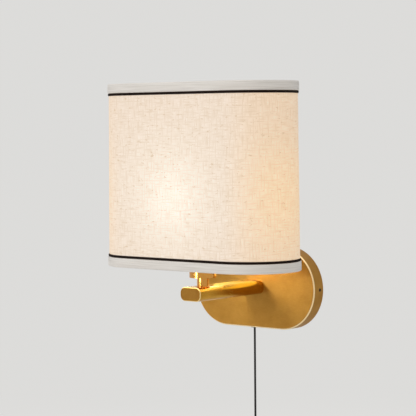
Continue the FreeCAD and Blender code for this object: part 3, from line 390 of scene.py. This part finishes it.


def bevelMask(tree):
    # painted highlight: a mask of the bevels that lean evenly between the front and the sides of plate and
    # arm, where a lighter colour is painted
    normal = addNode(tree, "ShaderNodeTexCoord").outputs["Normal"]
    forward = doMath(tree, "ABSOLUTE", addNode(tree, "ShaderNodeSeparateXYZ", {0: normal}).outputs[1])
    lean = doMath(tree, "ABSOLUTE", doMath(tree, "SUBTRACT", forward, math.sqrt(0.5)))
    return mapRange(tree, lean, *bevelRange, 1.0, 0.0, True)


def addBump(tree, shader, height, distance, strength=1.0):
    bump = addNode(tree, "ShaderNodeBump", {"Height": height, "Distance": distance, "Strength": strength})
    tree.links.new(bump.outputs[0], shader.inputs["Normal"])


# solid finishes: metals, plastics, rubber, porcelain and paint, all with grain and dust, and on plate and
# arm a painted highlight along the bevels

finishDefaults = {"metal": 0.0, "stretch": (1.0, 1.0, 1.0), "coat": 0.0, "coatRough": 0.12, "bevel": None}
solidFinishes = {
    "satinBrass": {
        "light": (0.478, 0.251, 0.050), "dark": (0.38, 0.187, 0.033), "metal": 1.0, "rough": (0.47, 0.58),
        "stretch": (0.16, 1.0, 1.0), "scale": 1300.0, "soft": 55.0, "bump": 0.000012, "dust": 0.05,
        # lighter colour painted on the bevels as a highlight
        "bevel": (1.0, 0.82, 0.50),
    },
    "turnedBrass": {
        "light": (0.80, 0.39, 0.075), "dark": (0.66, 0.30, 0.05), "metal": 1.0, "rough": (0.17, 0.24),
        "stretch": (0.15, 0.15, 1.0), "scale": 3200.0, "soft": 30.0, "bump": 0.000006, "dust": 0.06,
        "coat": 0.4,
    },
    "armBrass": {
        "light": (0.62, 0.33, 0.042), "dark": (0.48, 0.24, 0.024), "metal": 1.0, "rough": (0.20, 0.30),
        "stretch": (1.0, 0.04, 1.0), "scale": 2600.0, "soft": 28.0, "bump": 0.000012, "dust": 0.04,
        # lighter colour painted on the bevels as a highlight
        "bevel": (0.96, 0.72, 0.36),
    },
    "capBrass": {
        "light": (0.405, 0.204, 0.039), "dark": (0.30, 0.136, 0.022), "metal": 1.0, "rough": (0.34, 0.48),
        "stretch": (1.0, 1.0, 0.08), "scale": 2200.0, "soft": 60.0, "bump": 0.00001, "dust": 0.05,
    },
    "screwBrass": {
        "light": (0.22, 0.13, 0.05), "dark": (0.10, 0.06, 0.03), "metal": 1.0, "rough": (0.34, 0.5),
        "scale": 1500.0, "soft": 120.0, "bump": 0.00001, "dust": 0.1,
    },
    "bareBrass": {
        "light": (0.80, 0.58, 0.25), "dark": (0.58, 0.38, 0.13), "metal": 1.0, "rough": (0.22, 0.4),
        "stretch": (1.0, 1.0, 0.2), "scale": 1800.0, "soft": 120.0, "bump": 0.00001, "dust": 0.1,
    },
    "zincSteel": {
        "light": (0.62, 0.64, 0.66), "dark": (0.40, 0.42, 0.44), "metal": 1.0, "rough": (0.3, 0.5),
        "scale": 700.0, "soft": 180.0, "bump": 0.000015, "dust": 0.25,
    },
    "pinMetal": {
        "light": (0.82, 0.81, 0.78), "dark": (0.62, 0.60, 0.56), "metal": 1.0, "rough": (0.12, 0.25),
        "stretch": (1.0, 1.0, 0.05), "scale": 2500.0, "soft": 200.0, "bump": 0.000006, "dust": 0.0,
    },
    "capMetal": {
        "light": (0.78, 0.78, 0.77), "dark": (0.58, 0.58, 0.58), "metal": 1.0, "rough": (0.25, 0.42),
        "stretch": (0.2, 0.2, 1.0), "scale": 1800.0, "soft": 150.0, "bump": 0.00001, "dust": 0.1,
    },
    "holderPlastic": {
        "light": (0.80, 0.77, 0.70), "dark": (0.70, 0.66, 0.58), "rough": (0.42, 0.58),
        "scale": 1400.0, "soft": 70.0, "bump": 0.00002, "dust": 0.25,
    },
    "porcelain": {
        "light": (0.82, 0.80, 0.76), "dark": (0.74, 0.71, 0.66), "rough": (0.12, 0.22),
        "scale": 500.0, "soft": 90.0, "bump": 0.00002, "dust": 0.2,
    },
    "terminalNylon": {
        "light": (0.78, 0.77, 0.72), "dark": (0.68, 0.66, 0.60), "rough": (0.4, 0.55),
        "scale": 1200.0, "soft": 90.0, "bump": 0.00002, "dust": 0.2,
    },
    "grommetRubber": {
        "light": (0.030, 0.029, 0.028), "dark": (0.014, 0.014, 0.014), "rough": (0.6, 0.8),
        "scale": 1500.0, "soft": 200.0, "bump": 0.00002, "dust": 0.3,
    },
    "switchPlastic": {
        "light": (0.026, 0.025, 0.024), "dark": (0.014, 0.0135, 0.013), "rough": (0.34, 0.5),
        "scale": 2400.0, "soft": 120.0, "bump": 0.000025, "dust": 0.12,
    },
    "rockerPlastic": {
        "light": (0.022, 0.021, 0.02), "dark": (0.012, 0.0115, 0.011), "rough": (0.12, 0.24),
        "scale": 1600.0, "soft": 160.0, "bump": 0.00001, "dust": 0.05,
    },
    "leadBrown": {
        "light": (0.20, 0.09, 0.045), "dark": (0.13, 0.055, 0.028), "rough": (0.3, 0.45),
        "scale": 1500.0, "soft": 200.0, "bump": 0.00001, "dust": 0.1,
    },
    "leadBlue": {
        "light": (0.05, 0.16, 0.42), "dark": (0.03, 0.10, 0.30), "rough": (0.3, 0.45),
        "scale": 1500.0, "soft": 200.0, "bump": 0.00001, "dust": 0.1,
    },
    "wirePaint": {
        "light": (0.84, 0.82, 0.76), "dark": (0.76, 0.73, 0.66), "rough": (0.3, 0.45),
        "scale": 900.0, "soft": 120.0, "bump": 0.00003, "dust": 0.35,
    },
    "capInsulator": {
        "light": (0.03, 0.03, 0.035), "dark": (0.012, 0.012, 0.014), "rough": (0.08, 0.18),
        "scale": 900.0, "soft": 120.0, "bump": 0.00001, "dust": 0.05,
    },
}


def makeSolidFinish(name, chosen):
    plan = dict(finishDefaults, **chosen)
    material, tree, shader, place = newMaterial(name)
    grain = placeGroup(tree, grainGroup, {
        "Place": place, "Stretch": plan["stretch"], "Scale": plan["scale"], "Soft Scale": plan["soft"],
    })
    dust = placeGroup(tree, dustGroup, {"Place": place, "Amount": plan["dust"]})
    colour = mixColours(tree, grain["Tone"], opaque(plan["light"]), opaque(plan["dark"]))
    colour = mixColours(tree, dust["Mask"], colour, opaque(dustPlan["colour"]))
    # painted highlight: a lighter colour on the bevels
    if plan["bevel"]:
        colour = mixColours(tree, bevelMask(tree), colour, opaque(plan["bevel"]))
    tree.links.new(colour, shader.inputs["Base Color"])
    rough = mapRange(tree, grain["Tone"], 0.0, 1.0, *plan["rough"])
    dulling = doMath(tree, "MULTIPLY", dust["Mask"], dustPlan["dulling"])
    rough = doMath(tree, "ADD", rough, dulling, clamp=True)
    tree.links.new(rough, shader.inputs["Roughness"])
    shader.inputs["Metallic"].default_value = plan["metal"]
    shader.inputs["Coat Weight"].default_value = plan["coat"]
    shader.inputs["Coat Roughness"].default_value = plan["coatRough"]
    addBump(tree, shader, grain["Height"], plan["bump"])
    return material


solids = {name: makeSolidFinish(name, plan) for name, plan in solidFinishes.items()}

# glass of bulb and filament stem

glassFinishes = {
    "clearGlass": {"tint": (0.99, 0.985, 0.97), "rough": 0.02, "index": 1.45},
    "stemGlass": {"tint": (0.97, 0.98, 0.96), "rough": 0.06, "index": 1.5},
}
glassDust = {"Amount": 0.25, "Scale": 90.0}


def makeGlass(name, plan):
    material, tree, shader, place = newMaterial(name)
    shader.inputs["Base Color"].default_value = opaque(plan["tint"])
    shader.inputs["Transmission Weight"].default_value = 1.0
    shader.inputs["IOR"].default_value = plan["index"]
    dust = placeGroup(tree, dustGroup, {"Place": place, **glassDust})
    tree.links.new(doMath(tree, "ADD", dust["Mask"], plan["rough"], clamp=True), shader.inputs["Roughness"])
    return material


solids.update({name: makeGlass(name, plan) for name, plan in glassFinishes.items()})

# glowing filaments: beads along each strip

filamentPlan = {
    "bead": (1.0, 0.62, 0.22),
    "gap": (0.95, 0.42, 0.08),
    "beads": 900.0,         # in a metre of height
    "glow": 6.0,
    "rough": 0.4,
}


def makeFilamentGlow(plan):
    material, tree, shader, place = newMaterial("filamentGlow")
    height = addNode(tree, "ShaderNodeSeparateXYZ", {0: place}).outputs[2]
    wave = doMath(tree, "SINE", doMath(tree, "MULTIPLY", height, plan["beads"] * math.pi))
    colour = mixColours(tree, doMath(tree, "ABSOLUTE", wave), opaque(plan["gap"]), opaque(plan["bead"]))
    tree.links.new(colour, shader.inputs["Base Color"])
    tree.links.new(colour, shader.inputs["Emission Color"])
    shader.inputs["Emission Strength"].default_value = plan["glow"]
    shader.inputs["Roughness"].default_value = plan["rough"]
    return material


solids["filamentGlow"] = makeFilamentGlow(filamentPlan)

# the bulb's glow in the cloth and its liner, by how far each place is from the bulb

filamentLow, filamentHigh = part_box("led_filaments")
bulbCentre = (Vector(filamentLow) + Vector(filamentHigh)) / 2

glowPlan = {
    "near": (0.55, 0.53, 0.46),         # cloth beside the bulb
    "far": (0.345, 0.27, 0.205),        # flat cloth far from it
    "ends": (0.55, 0.35, 0.145),        # the rounded ends at the bulb's height
    "corners": (0.44, 0.30, 0.17),      # the same near the tapes
    "mirrored": 1.9,        # times as strong where brass mirrors it
    "nearest": 0.0535,      # distance of full glow from the bulb
    "fade": 2.4,        # power by which the glow falls off with distance
    "endRange": (0.07, 0.128),      # sideways distance where the ends' colour starts and is full
    "cornerReach": 0.1,         # height above or below the bulb where the corners' colour is full
}


def lampGlow(tree, place, plan):
    away = addNode(tree, "ShaderNodeVectorMath", {0: place, 1: bulbCentre}, operation="SUBTRACT").outputs[0]
    distance = addNode(tree, "ShaderNodeVectorMath", {0: away}, operation="LENGTH").outputs[1]
    share = doMath(tree, "DIVIDE", plan["nearest"], distance)
    share = doMath(tree, "POWER", share, plan["fade"], clamp=True)
    flatColour = mixColours(tree, share, opaque(plan["far"]), opaque(plan["near"]))
    axes = addNode(tree, "ShaderNodeSeparateXYZ", {0: away}).outputs
    rise = mapRange(tree, doMath(tree, "ABSOLUTE", axes[2]), 0.0, plan["cornerReach"], 0.0, 1.0, True)
    endColour = mixColours(tree, rise, opaque(plan["ends"]), opaque(plan["corners"]))
    ends = mapRange(tree, doMath(tree, "ABSOLUTE", axes[0]), *plan["endRange"], 0.0, 1.0, True)
    return mixColours(tree, ends, flatColour, endColour)


def mirroredGlow(tree, strength):
    # a stronger glow where other pieces mirror it, since the camera's own view would clip
    mirrored = addNode(tree, "ShaderNodeLightPath").outputs["Is Glossy Ray"]
    return mapRange(tree, mirrored, 0.0, 1.0, 1.0, strength)


def clothPlace(tree):
    return addNode(tree, "ShaderNodeUVMap", uv_map="clothPlace").outputs[0]


# cloth of the shade: cream linen with slubs and ochre flecks, lit from within

clothPlan = {
    "thread": (0.64, 0.58, 0.53),
    "slub": (0.51, 0.425, 0.34),
    "fleck": (0.38, 0.26, 0.13),
    "shaded": (0.27, 0.17, 0.07),       # glow through the thickest slubs and flecks
    "threads": 1900.0,      # in a metre
    "slubLength": 0.014,
    "slubWidth": 0.0017,
    "slubShade": 0.24,
    "fleckShade": 0.42,
    "rough": 0.9,
    "sheen": 0.15,
    "bump": 0.00012,
    "bumpStrength": 0.6,
}


def makeShadeCloth(plan, glow):
    material, tree, shader, place = newMaterial("shadeLinen")
    weave = placeGroup(tree, weaveGroup, {
        "Place": clothPlace(tree), "Threads": plan["threads"], "Slub Length": plan["slubLength"],
        "Slub Width": plan["slubWidth"],
    })
    flecks = doMath(tree, "MULTIPLY", weave["Fleck"], plan["fleckShade"])
    colour = mixColours(tree, weave["Slub"], opaque(plan["thread"]), opaque(plan["slub"]))
    colour = mixColours(tree, flecks, colour, opaque(plan["fleck"]))
    tree.links.new(colour, shader.inputs["Base Color"])
    slubs = doMath(tree, "MULTIPLY", weave["Slub"], plan["slubShade"])
    shade = doMath(tree, "ADD", slubs, flecks, clamp=True)
    lit = mixColours(tree, shade, lampGlow(tree, place, glow), opaque(plan["shaded"]))
    tree.links.new(lit, shader.inputs["Emission Color"])
    tree.links.new(mirroredGlow(tree, glow["mirrored"]), shader.inputs["Emission Strength"])
    shader.inputs["Roughness"].default_value = plan["rough"]
    shader.inputs["Sheen Weight"].default_value = plan["sheen"]
    addBump(tree, shader, weave["Height"], plan["bump"], plan["bumpStrength"])
    return material


# liner film behind the cloth, with a glow of its own colours

linerPlan = {
    "light": (0.50, 0.45, 0.37),
    "dark": (0.465, 0.4185, 0.3441),
    "scale": 900.0,
    "soft": 50.0,
    "rough": 0.45,
    "bump": 0.00001,
    "glow": {
        "near": (0.52, 0.47, 0.38),
        "far": (0.42, 0.375, 0.27),
        "ends": (0.38, 0.33, 0.22),
        "corners": (0.34, 0.29, 0.19),
        "mirrored": 3.8,
    },
}


def makeLinerFilm(plan, clothGlow):
    material, tree, shader, place = newMaterial("linerFilm")
    grain = placeGroup(tree, grainGroup, {
        "Place": place, "Scale": plan["scale"], "Soft Scale": plan["soft"],
    })
    colour = mixColours(tree, grain["Tone"], opaque(plan["light"]), opaque(plan["dark"]))
    tree.links.new(colour, shader.inputs["Base Color"])
    glow = dict(clothGlow, **plan["glow"])
    tree.links.new(lampGlow(tree, place, glow), shader.inputs["Emission Color"])
    tree.links.new(mirroredGlow(tree, glow["mirrored"]), shader.inputs["Emission Strength"])
    shader.inputs["Roughness"].default_value = plan["rough"]
    addBump(tree, shader, grain["Height"], plan["bump"])
    return material


# woven trims: edge tapes, piping, and the webbing that ties the coil

trimPlans = {
    "tapeRibbed": {
        "light": (0.80, 0.765, 0.72), "dark": (0.66, 0.62, 0.57),
        "threads": 1500.0, "slubLength": 0.05, "slubWidth": 0.0012, "crossing": 0.25,
        "rough": 0.8, "sheen": 0.1, "shine": 0.5, "bump": 0.0001,
    },
    "pipingBlack": {
        "light": (0.017, 0.0085, 0.006), "dark": (0.007, 0.0035, 0.0025),
        "threads": 2300.0, "slubLength": 0.004, "slubWidth": 0.0008, "crossing": 1.0,
        "rough": 0.85, "sheen": 0.0, "shine": 0.12, "bump": 0.00015,
    },
    "tieWebbing": {
        "light": (0.035, 0.034, 0.033), "dark": (0.012, 0.012, 0.012),
        "threads": 2600.0, "slubLength": 0.006, "slubWidth": 0.0008, "crossing": 1.0,
        "rough": 0.8, "sheen": 0.2, "shine": 0.4, "bump": 0.0001,
    },
}
trimBumpStrength = 0.7


def makeTrim(name, plan, onBand):
    material, tree, shader, place = newMaterial(name)
    weave = placeGroup(tree, weaveGroup, {
        "Place": clothPlace(tree) if onBand else place,
        "Threads": plan["threads"], "Slub Length": plan["slubLength"],
        "Slub Width": plan["slubWidth"], "Crossing": plan["crossing"],
    })
    colour = mixColours(tree, weave["Slub"], opaque(plan["light"]), opaque(plan["dark"]))
    tree.links.new(colour, shader.inputs["Base Color"])
    shader.inputs["Roughness"].default_value = plan["rough"]
    shader.inputs["Sheen Weight"].default_value = plan["sheen"]
    shader.inputs["Specular IOR Level"].default_value = plan["shine"]
    addBump(tree, shader, weave["Height"], plan["bump"], trimBumpStrength)
    return material


shadeLinen = makeShadeCloth(clothPlan, glowPlan)
solids["linerFilm"] = makeLinerFilm(linerPlan, glowPlan)
trims = {name: makeTrim(name, plan, name != "tieWebbing") for name, plan in trimPlans.items()}
solids["tieWebbing"] = trims["tieWebbing"]

# cord jacket: soft black plastic with a fine grain

jacketPlan = {
    "light": (0.019, 0.0175, 0.0165),
    "dark": (0.008, 0.0075, 0.007),
    "scale": 1500.0,
    "soft": 90.0,
    "rough": (0.38, 0.55),
    "shine": 0.3,
    "bump": 0.00004,
}


def makeCordJacket(plan):
    material, tree, shader, place = newMaterial("cordJacket")
    grain = placeGroup(tree, grainGroup, {
        "Place": place, "Scale": plan["scale"], "Soft Scale": plan["soft"],
    })
    colour = mixColours(tree, grain["Tone"], opaque(plan["light"]), opaque(plan["dark"]))
    tree.links.new(colour, shader.inputs["Base Color"])
    tree.links.new(mapRange(tree, grain["Tone"], 0.0, 1.0, *plan["rough"]), shader.inputs["Roughness"])
    shader.inputs["Specular IOR Level"].default_value = plan["shine"]
    addBump(tree, shader, grain["Height"], plan["bump"])
    return material


solids["cordJacket"] = makeCordJacket(jacketPlan)
hangingCord.data.materials.append(solids["cordJacket"])

# finishes of the nodes that stay

nodeFinishes = {
    "satinBrass": ["cover_plate"],
    "turnedBrass": ["stem_sleeve", "holder_cup"],
    "armBrass": ["arm_tube"],
    "capBrass": ["arm_end_cap"],
    "screwBrass": ["side_screws"],
    "bareBrass": [
        "terminal_tubes", "holder_terminals", "centre_contact", "screw_shell", "switch_contacts",
        "arm_root_block", "bulb_contact",
    ],
    "zincSteel": [
        "wall_bracket", "bracket_screws", "terminal_screws", "arm_locating_pin", "arm_nipple", "arm_washer",
        "arm_nut", "stem_nipple", "stem_nut", "switch_screws",
    ],
    "pinMetal": ["plug_pins"],
    "capMetal": ["bulb_cap"],
    "holderPlastic": ["holder_base", "holder_sleeve", "shade_ring_lower", "shade_ring_upper"],
    "porcelain": ["contact_carrier"],
    "terminalNylon": ["terminal_block", "cord_saddle", "cord_bridge"],
    "grommetRubber": ["cord_grommet"],
    "switchPlastic": ["switch_base", "switch_cover", "plug_body"],
    "rockerPlastic": ["switch_rocker"],
    "leadBrown": ["lead_live", "cord_cores"],
    "leadBlue": ["lead_neutral"],
    "wirePaint": ["shade_spider", "bottom_hoop", "top_hoop"],
    "capInsulator": ["bulb_insulator"],
    "clearGlass": ["bulb_glass"],
    "stemGlass": ["filament_stem"],
    "filamentGlow": ["led_filaments"],
    "linerFilm": ["shade_liner"],
    "tieWebbing": ["coil_tie"],
    "cordJacket": ["cord_tail"],
}
for finish, names in nodeFinishes.items():
    for name in names:
        for materialSlot in nodes[name].material_slots:
            materialSlot.material = solids[finish]
print("materials made")

# shade: cloth, tapes and piping as bands that follow the oblong outline

tapeLow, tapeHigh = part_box("bottom_tape")
topLow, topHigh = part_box("top_tape")
shadePlan = {
    "straight": (tapeHigh[0] - tapeLow[0]) - (tapeHigh[1] - tapeLow[1]),
    "lowRadius": (tapeHigh[1] - tapeLow[1]) / 2,
    "highRadius": (topHigh[1] - topLow[1]) / 2,
    "bottom": tapeLow[2],
    "top": topHigh[2],
    "centreY": (tapeHigh[1] + tapeLow[1]) / 2,
    "endSteps": 44,         # mesh steps round each end
    "straightSteps": 26,
    "sharpAngle": 50,
}


def loopStations(plan, extra=()):
    # (section, share of it, distance along the outline) from the back's middle, clockwise from above
    half = plan["straight"] / 2
    arc = math.pi * (plan["lowRadius"] + plan["highRadius"]) / 2
    lengths = [half, arc, plan["straight"], arc, half]
    halfSteps = plan["straightSteps"] // 2
    counts = [halfSteps, plan["endSteps"], plan["straightSteps"], plan["endSteps"], halfSteps]
    stations = []
    start = 0.0
    for section, (length, count) in enumerate(zip(lengths, counts)):
        shares = {k / count for k in range(count)}
        shares |= {(place - start) / length for place in extra if start < place < start + length}
        stations += [(section, share, start + share * length) for share in sorted(shares)]
        start += length
    return stations, start


def outlinePoint(plan, section, share, inset, height):
    # the shade's radius changes evenly with height, by its slight taper
    rise = (height - plan["bottom"]) / (plan["top"] - plan["bottom"])
    radius = plan["lowRadius"] + (plan["highRadius"] - plan["lowRadius"]) * rise - inset
    half = plan["straight"] / 2
    if section in (1, 3):
        angle = math.pi * share
        side = 1 if section == 1 else -1
        x = side * (half + radius * math.sin(angle))
        y = plan["centreY"] + side * radius * math.cos(angle)
        return (x, y, height)
    if section == 2:
        return (half - plan["straight"] * share, plan["centreY"] - radius, height)
    x = half * share if section == 0 else -half + half * share
    return (x, plan["centreY"] + radius, height)


def makeBand(name, plan, profile, material, ripple=None, extra=()):
    # profile: closed list of (inset, height) corners, walked round the outline
    stations, perimeter = loopStations(plan, extra)
    run = [0.0]
    closed = profile + profile[:1]
    for (inset, height), (nextInset, nextHeight) in zip(closed, closed[1:]):
        run.append(run[-1] + math.hypot(nextInset - inset, nextHeight - height))
    vertices = []
    for section, share, along in stations:
        for inset, height in profile:
            shift = ripple(along, inset, height) if ripple else 0.0
            vertices.append(outlinePoint(plan, section, share, inset - shift, height))
    wide = len(profile)
    count = len(stations)
    faces = []
    places = []
    for k in range(count):
        following = (k + 1) % count
        startAlong = stations[k][2]
        endAlong = stations[following][2] if following else perimeter
        for j in range(wide):
            nextJ = (j + 1) % wide
            faces.append((k * wide + j, k * wide + nextJ, following * wide + nextJ, following * wide + j))
            places.append((
                (startAlong, run[j]), (startAlong, run[j + 1]), (endAlong, run[j + 1]), (endAlong, run[j]),
            ))
    mesh = bpy.data.meshes.new(name)
    mesh.from_pydata(vertices, [], faces)
    layer = mesh.uv_layers.new(name="clothPlace")
    for polygon, corners in zip(mesh.polygons, places):
        for loop, corner in zip(polygon.loop_indices, corners):
            layer.data[loop].uv = corner
    mesh.materials.append(material)
    mesh.shade_smooth()
    mesh.set_sharp_from_angle(angle=math.radians(plan["sharpAngle"]))
    mesh.update()
    piece = bpy.data.objects.new(name, mesh)
    bpy.context.scene.collection.objects.link(piece)
    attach(piece, "shade")
    return piece


fabricPlan = {
    "outside": 0.0014,      # inset of the cloth's outer face from the tapes'
    "thickness": 0.0005,
    "edge": 0.0009,         # cloth that stays short of the shade's edge, inside the tape
    "rows": 40,
    "seamPlace": 0.034,     # along the back from its middle
    "seamWidth": 0.009,
    "seamRise": 0.0004,
    "seamStep": 0.0001,     # length in which the overlap rises
    "seamTaper": 0.003,     # and in which it falls again
    "ripple": 0.00006,
    "waves": ((61, 37), (-23, 83)),         # radians in a metre along the outline and upward
}


def fabricRipple(along, inset, height):
    shift = fabricPlan["ripple"]
    for alongRate, heightRate in fabricPlan["waves"]:
        shift *= math.sin(along * alongRate + height * heightRate)
    if inset < fabricPlan["outside"] + fabricPlan["thickness"] / 2:         # the outer face
        past = along - fabricPlan["seamPlace"]
        if 0 <= past <= fabricPlan["seamWidth"]:
            left = (fabricPlan["seamWidth"] - past) / fabricPlan["seamTaper"]
            shift += fabricPlan["seamRise"] * min(1.0, left)
    return shift


def makeFabric(plan):
    low = shadePlan["bottom"] + plan["edge"]
    high = shadePlan["top"] - plan["edge"]
    levels = [low + (high - low) * k / plan["rows"] for k in range(plan["rows"] + 1)]
    inner = plan["outside"] + plan["thickness"]
    profile = [(plan["outside"], z) for z in reversed(levels)] + [(inner, z) for z in levels]
    seam = plan["seamPlace"]
    seamEnd = seam + plan["seamWidth"]
    seamStations = (seam - plan["seamStep"], seam, seamEnd - plan["seamTaper"], seamEnd)
    fabric = makeBand("shadeCloth", shadePlan, profile, shadeLinen, fabricRipple, seamStations)
    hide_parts("shade_fabric")
    perimeter = loopStations(shadePlan)[1]
    return fabric, (perimeter, high - low)


# (inset, distance from the shade's edge) round the folded tape and the piping, in millimetres

trimShapes = {
    "tape": [
        (0.55, 10.6), (0.22, 10.42), (0.08, 10.0), (0.02, 8.0), (-0.04, 5.4), (0.0, 3.0), (0.04, 1.1),
        (0.18, 0.42), (0.6, 0.08), (1.4, 0.0), (3.2, 0.03), (5.0, 0.0), (5.65, 0.12), (5.98, 0.5),
        (6.05, 1.2), (6.02, 4.4), (6.05, 7.5), (5.9, 7.9), (5.6, 8.0), (5.34, 7.85), (5.27, 7.4),
        (5.27, 1.2), (5.1, 0.9), (4.7, 0.8), (1.9, 0.8), (1.5, 0.92), (1.36, 1.3), (1.36, 10.2),
        (1.2, 10.55),
    ],
    "piping": [
        (1.36, 10.68), (0.95, 10.7), (0.62, 11.0), (0.44, 11.6), (0.4, 12.15), (0.44, 12.7), (0.62, 13.3),
        (0.95, 13.6), (1.36, 13.62),
    ],
}


def makeEdgeTrim(name, shape, atTop, material, node):
    outline = [(inset / 1000, distance / 1000) for inset, distance in trimShapes[shape]]
    if atTop:
        profile = [(inset, shadePlan["top"] - distance) for inset, distance in reversed(outline)]
    else:
        profile = [(inset, shadePlan["bottom"] + distance) for inset, distance in outline]
    piece = makeBand(name, shadePlan, profile, material)
    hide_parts(node)
    return piece


shadeCloth, clothSize = makeFabric(fabricPlan)
trimPieces = [
    makeEdgeTrim("bottomTape", "tape", False, trims["tapeRibbed"], "bottom_tape"),
    makeEdgeTrim("topTape", "tape", True, trims["tapeRibbed"], "top_tape"),
    makeEdgeTrim("bottomPiping", "piping", False, trims["pipingBlack"], "bottom_piping"),
    makeEdgeTrim("topPiping", "piping", True, trims["pipingBlack"], "top_piping"),
]
print("shade made")

# floor, world and lamps

stagePlan = {
    "floorDrop": 0.02,      # from the plug's pins down to the floor
    "floorSize": 12.0,
    "pale": (0.72, 0.715, 0.70),
    "worldLight": (0.52, 0.525, 0.535),
    "floorGlow": (0.829, 0.823, 0.806),         # the floor's steady colour under the lamp
    "floorShown": 0.72,     # its share there, beside the lit floor with its shadow
    "shadowReach": (0.4, 1.5),      # distances between which the floor turns into plain background
}


def seenDirectly(tree):
    # rays that show the pale background: the camera's own, mirrored and through glass
    path = addNode(tree, "ShaderNodeLightPath").outputs
    first = doMath(tree, "MAXIMUM", path["Is Camera Ray"], path["Is Glossy Ray"])
    return doMath(tree, "MAXIMUM", first, path["Is Transmission Ray"])


def makeFloor(plan):
    half = plan["floorSize"] / 2
    corners = [(-half, -half, 0), (half, -half, 0), (half, half, 0), (-half, half, 0)]
    mesh = bpy.data.meshes.new("studioFloor")
    mesh.from_pydata(corners, [], [(0, 1, 2, 3)])
    floor = bpy.data.objects.new("studioFloor", mesh)
    floor.location.z = cadBox[0][2] - plan["floorDrop"]
    bpy.context.scene.collection.objects.link(floor)
    material, tree, shader, place = newMaterial("paleFloor")
    shader.inputs["Base Color"].default_value = opaque(plan["pale"])
    shader.inputs["Roughness"].default_value = 1.0
    shader.inputs["Specular IOR Level"].default_value = 0.0
    distance = addNode(tree, "ShaderNodeVectorMath", {0: place}, operation="LENGTH").outputs[1]
    reach = mapRange(tree, distance, *plan["shadowReach"], 0.0, 1.0, True)
    colour = mixColours(tree, reach, opaque(plan["floorGlow"]), opaque(plan["pale"]))
    glow = addNode(tree, "ShaderNodeEmission", {0: colour, 1: 1.0})
    shown = mapRange(tree, reach, 0.0, 1.0, plan["floorShown"], 1.0)
    share = doMath(tree, "MULTIPLY", seenDirectly(tree), shown)
    both = addNode(tree, "ShaderNodeMixShader", {0: share, 1: shader.outputs[0], 2: glow.outputs[0]})
    ending = next(node for node in tree.nodes if node.bl_idname == "ShaderNodeOutputMaterial")
    tree.links.new(both.outputs[0], ending.inputs[0])
    mesh.materials.append(material)


def makeWorld(plan):
    world = bpy.data.worlds.new("studioWorld")
    world.use_nodes = True
    tree = world.node_tree
    tree.nodes.clear()
    colour = mixColours(tree, seenDirectly(tree), opaque(plan["worldLight"]), opaque(plan["pale"]))
    background = addNode(tree, "ShaderNodeBackground", {0: colour, 1: 1.0})
    addNode(tree, "ShaderNodeOutputWorld", {0: background.outputs[0]})
    bpy.context.scene.world = world


# studio lamps, all turned to the bulb

lampPlans = {
    "keySoftbox": {
        "place": (-1.62, -2.3, 1.2), "size": (1.1, 1.0), "power": 21.5, "colour": (1.0, 0.985, 0.965),
    },
    "keyStrip": {
        "place": (-1.0, -2.2, 0.0), "size": (0.15, 1.6), "power": 2.6, "colour": (1.0, 0.985, 0.96),
    },
    "fillSoftbox": {
        "place": (2.1, -1.75, 0.3), "size": (0.9, 1.7), "power": 13.0, "colour": (1.0, 0.94, 0.86),
        "mirrored": False,
    },
    "topSoftbox": {
        "place": (0.2, -0.4, 2.4), "size": (1.4, 1.4), "power": 14.0, "colour": (1.0, 0.99, 0.97),
    },
}

# small lamps round the arm, placed from the middle of the shade's lower edge: the light that the shade
# throws down, that the plate throws back and that the bulb throws on the plate, and a stripe on the cup

spillPlans = {
    "shadeSpill": {
        "place": (0.0, 0.0, 0.012), "towards": (0.0, 0.0, -1.0),
        "size": (0.2, 0.07), "power": 0.02, "colour": (1.0, 0.76, 0.32),
    },
    "plateSpill": {
        "place": (0.0, 0.0895, 0.002), "towards": (0.0, -1.0, 0.0),
        "size": (0.12, 0.036), "power": 0.021, "colour": (1.0, 0.90, 0.24),
    },
    "bulbSpill": {
        "place": (-0.02, 0.008, 0.022), "towards": (0.07, 0.083, -0.05),
        "size": (0.045, 0.035), "power": 0.32, "colour": (0.94, 1.0, 0.94),
    },
    "cupStrip": {
        "place": (-0.0075, -0.047, -0.0085), "towards": (0.0075, 0.047, 0.0), "spread": 30,
        "size": (0.011, 0.021), "power": 0.0006, "colour": (0.84, 0.92, 1.0),
    },
}


def makeLamp(name, plan, place, target):
    data = bpy.data.lights.new(name, "AREA")
    data.shape = "RECTANGLE"
    data.size, data.size_y = plan["size"]
    data.energy = plan["power"]
    data.color = plan["colour"]
    data.spread = math.radians(plan.get("spread", 180))
    lamp = bpy.data.objects.new(name, data)
    lamp.location = place
    lamp.rotation_euler = (target - place).to_track_quat("-Z", "Y").to_euler()
    lamp.visible_camera = False
    lamp.visible_glossy = plan.get("mirrored", True)
    bpy.context.scene.collection.objects.link(lamp)


makeFloor(stagePlan)
makeWorld(stagePlan)
for name, plan in lampPlans.items():
    makeLamp(name, plan, Vector(plan["place"]), bulbCentre)
shadeFoot = Vector((0, shadePlan["centreY"], shadePlan["bottom"]))
for name, plan in spillPlans.items():
    place = shadeFoot + Vector(plan["place"])
    makeLamp(name, plan, place, place + Vector(plan["towards"]))
print("stage made")
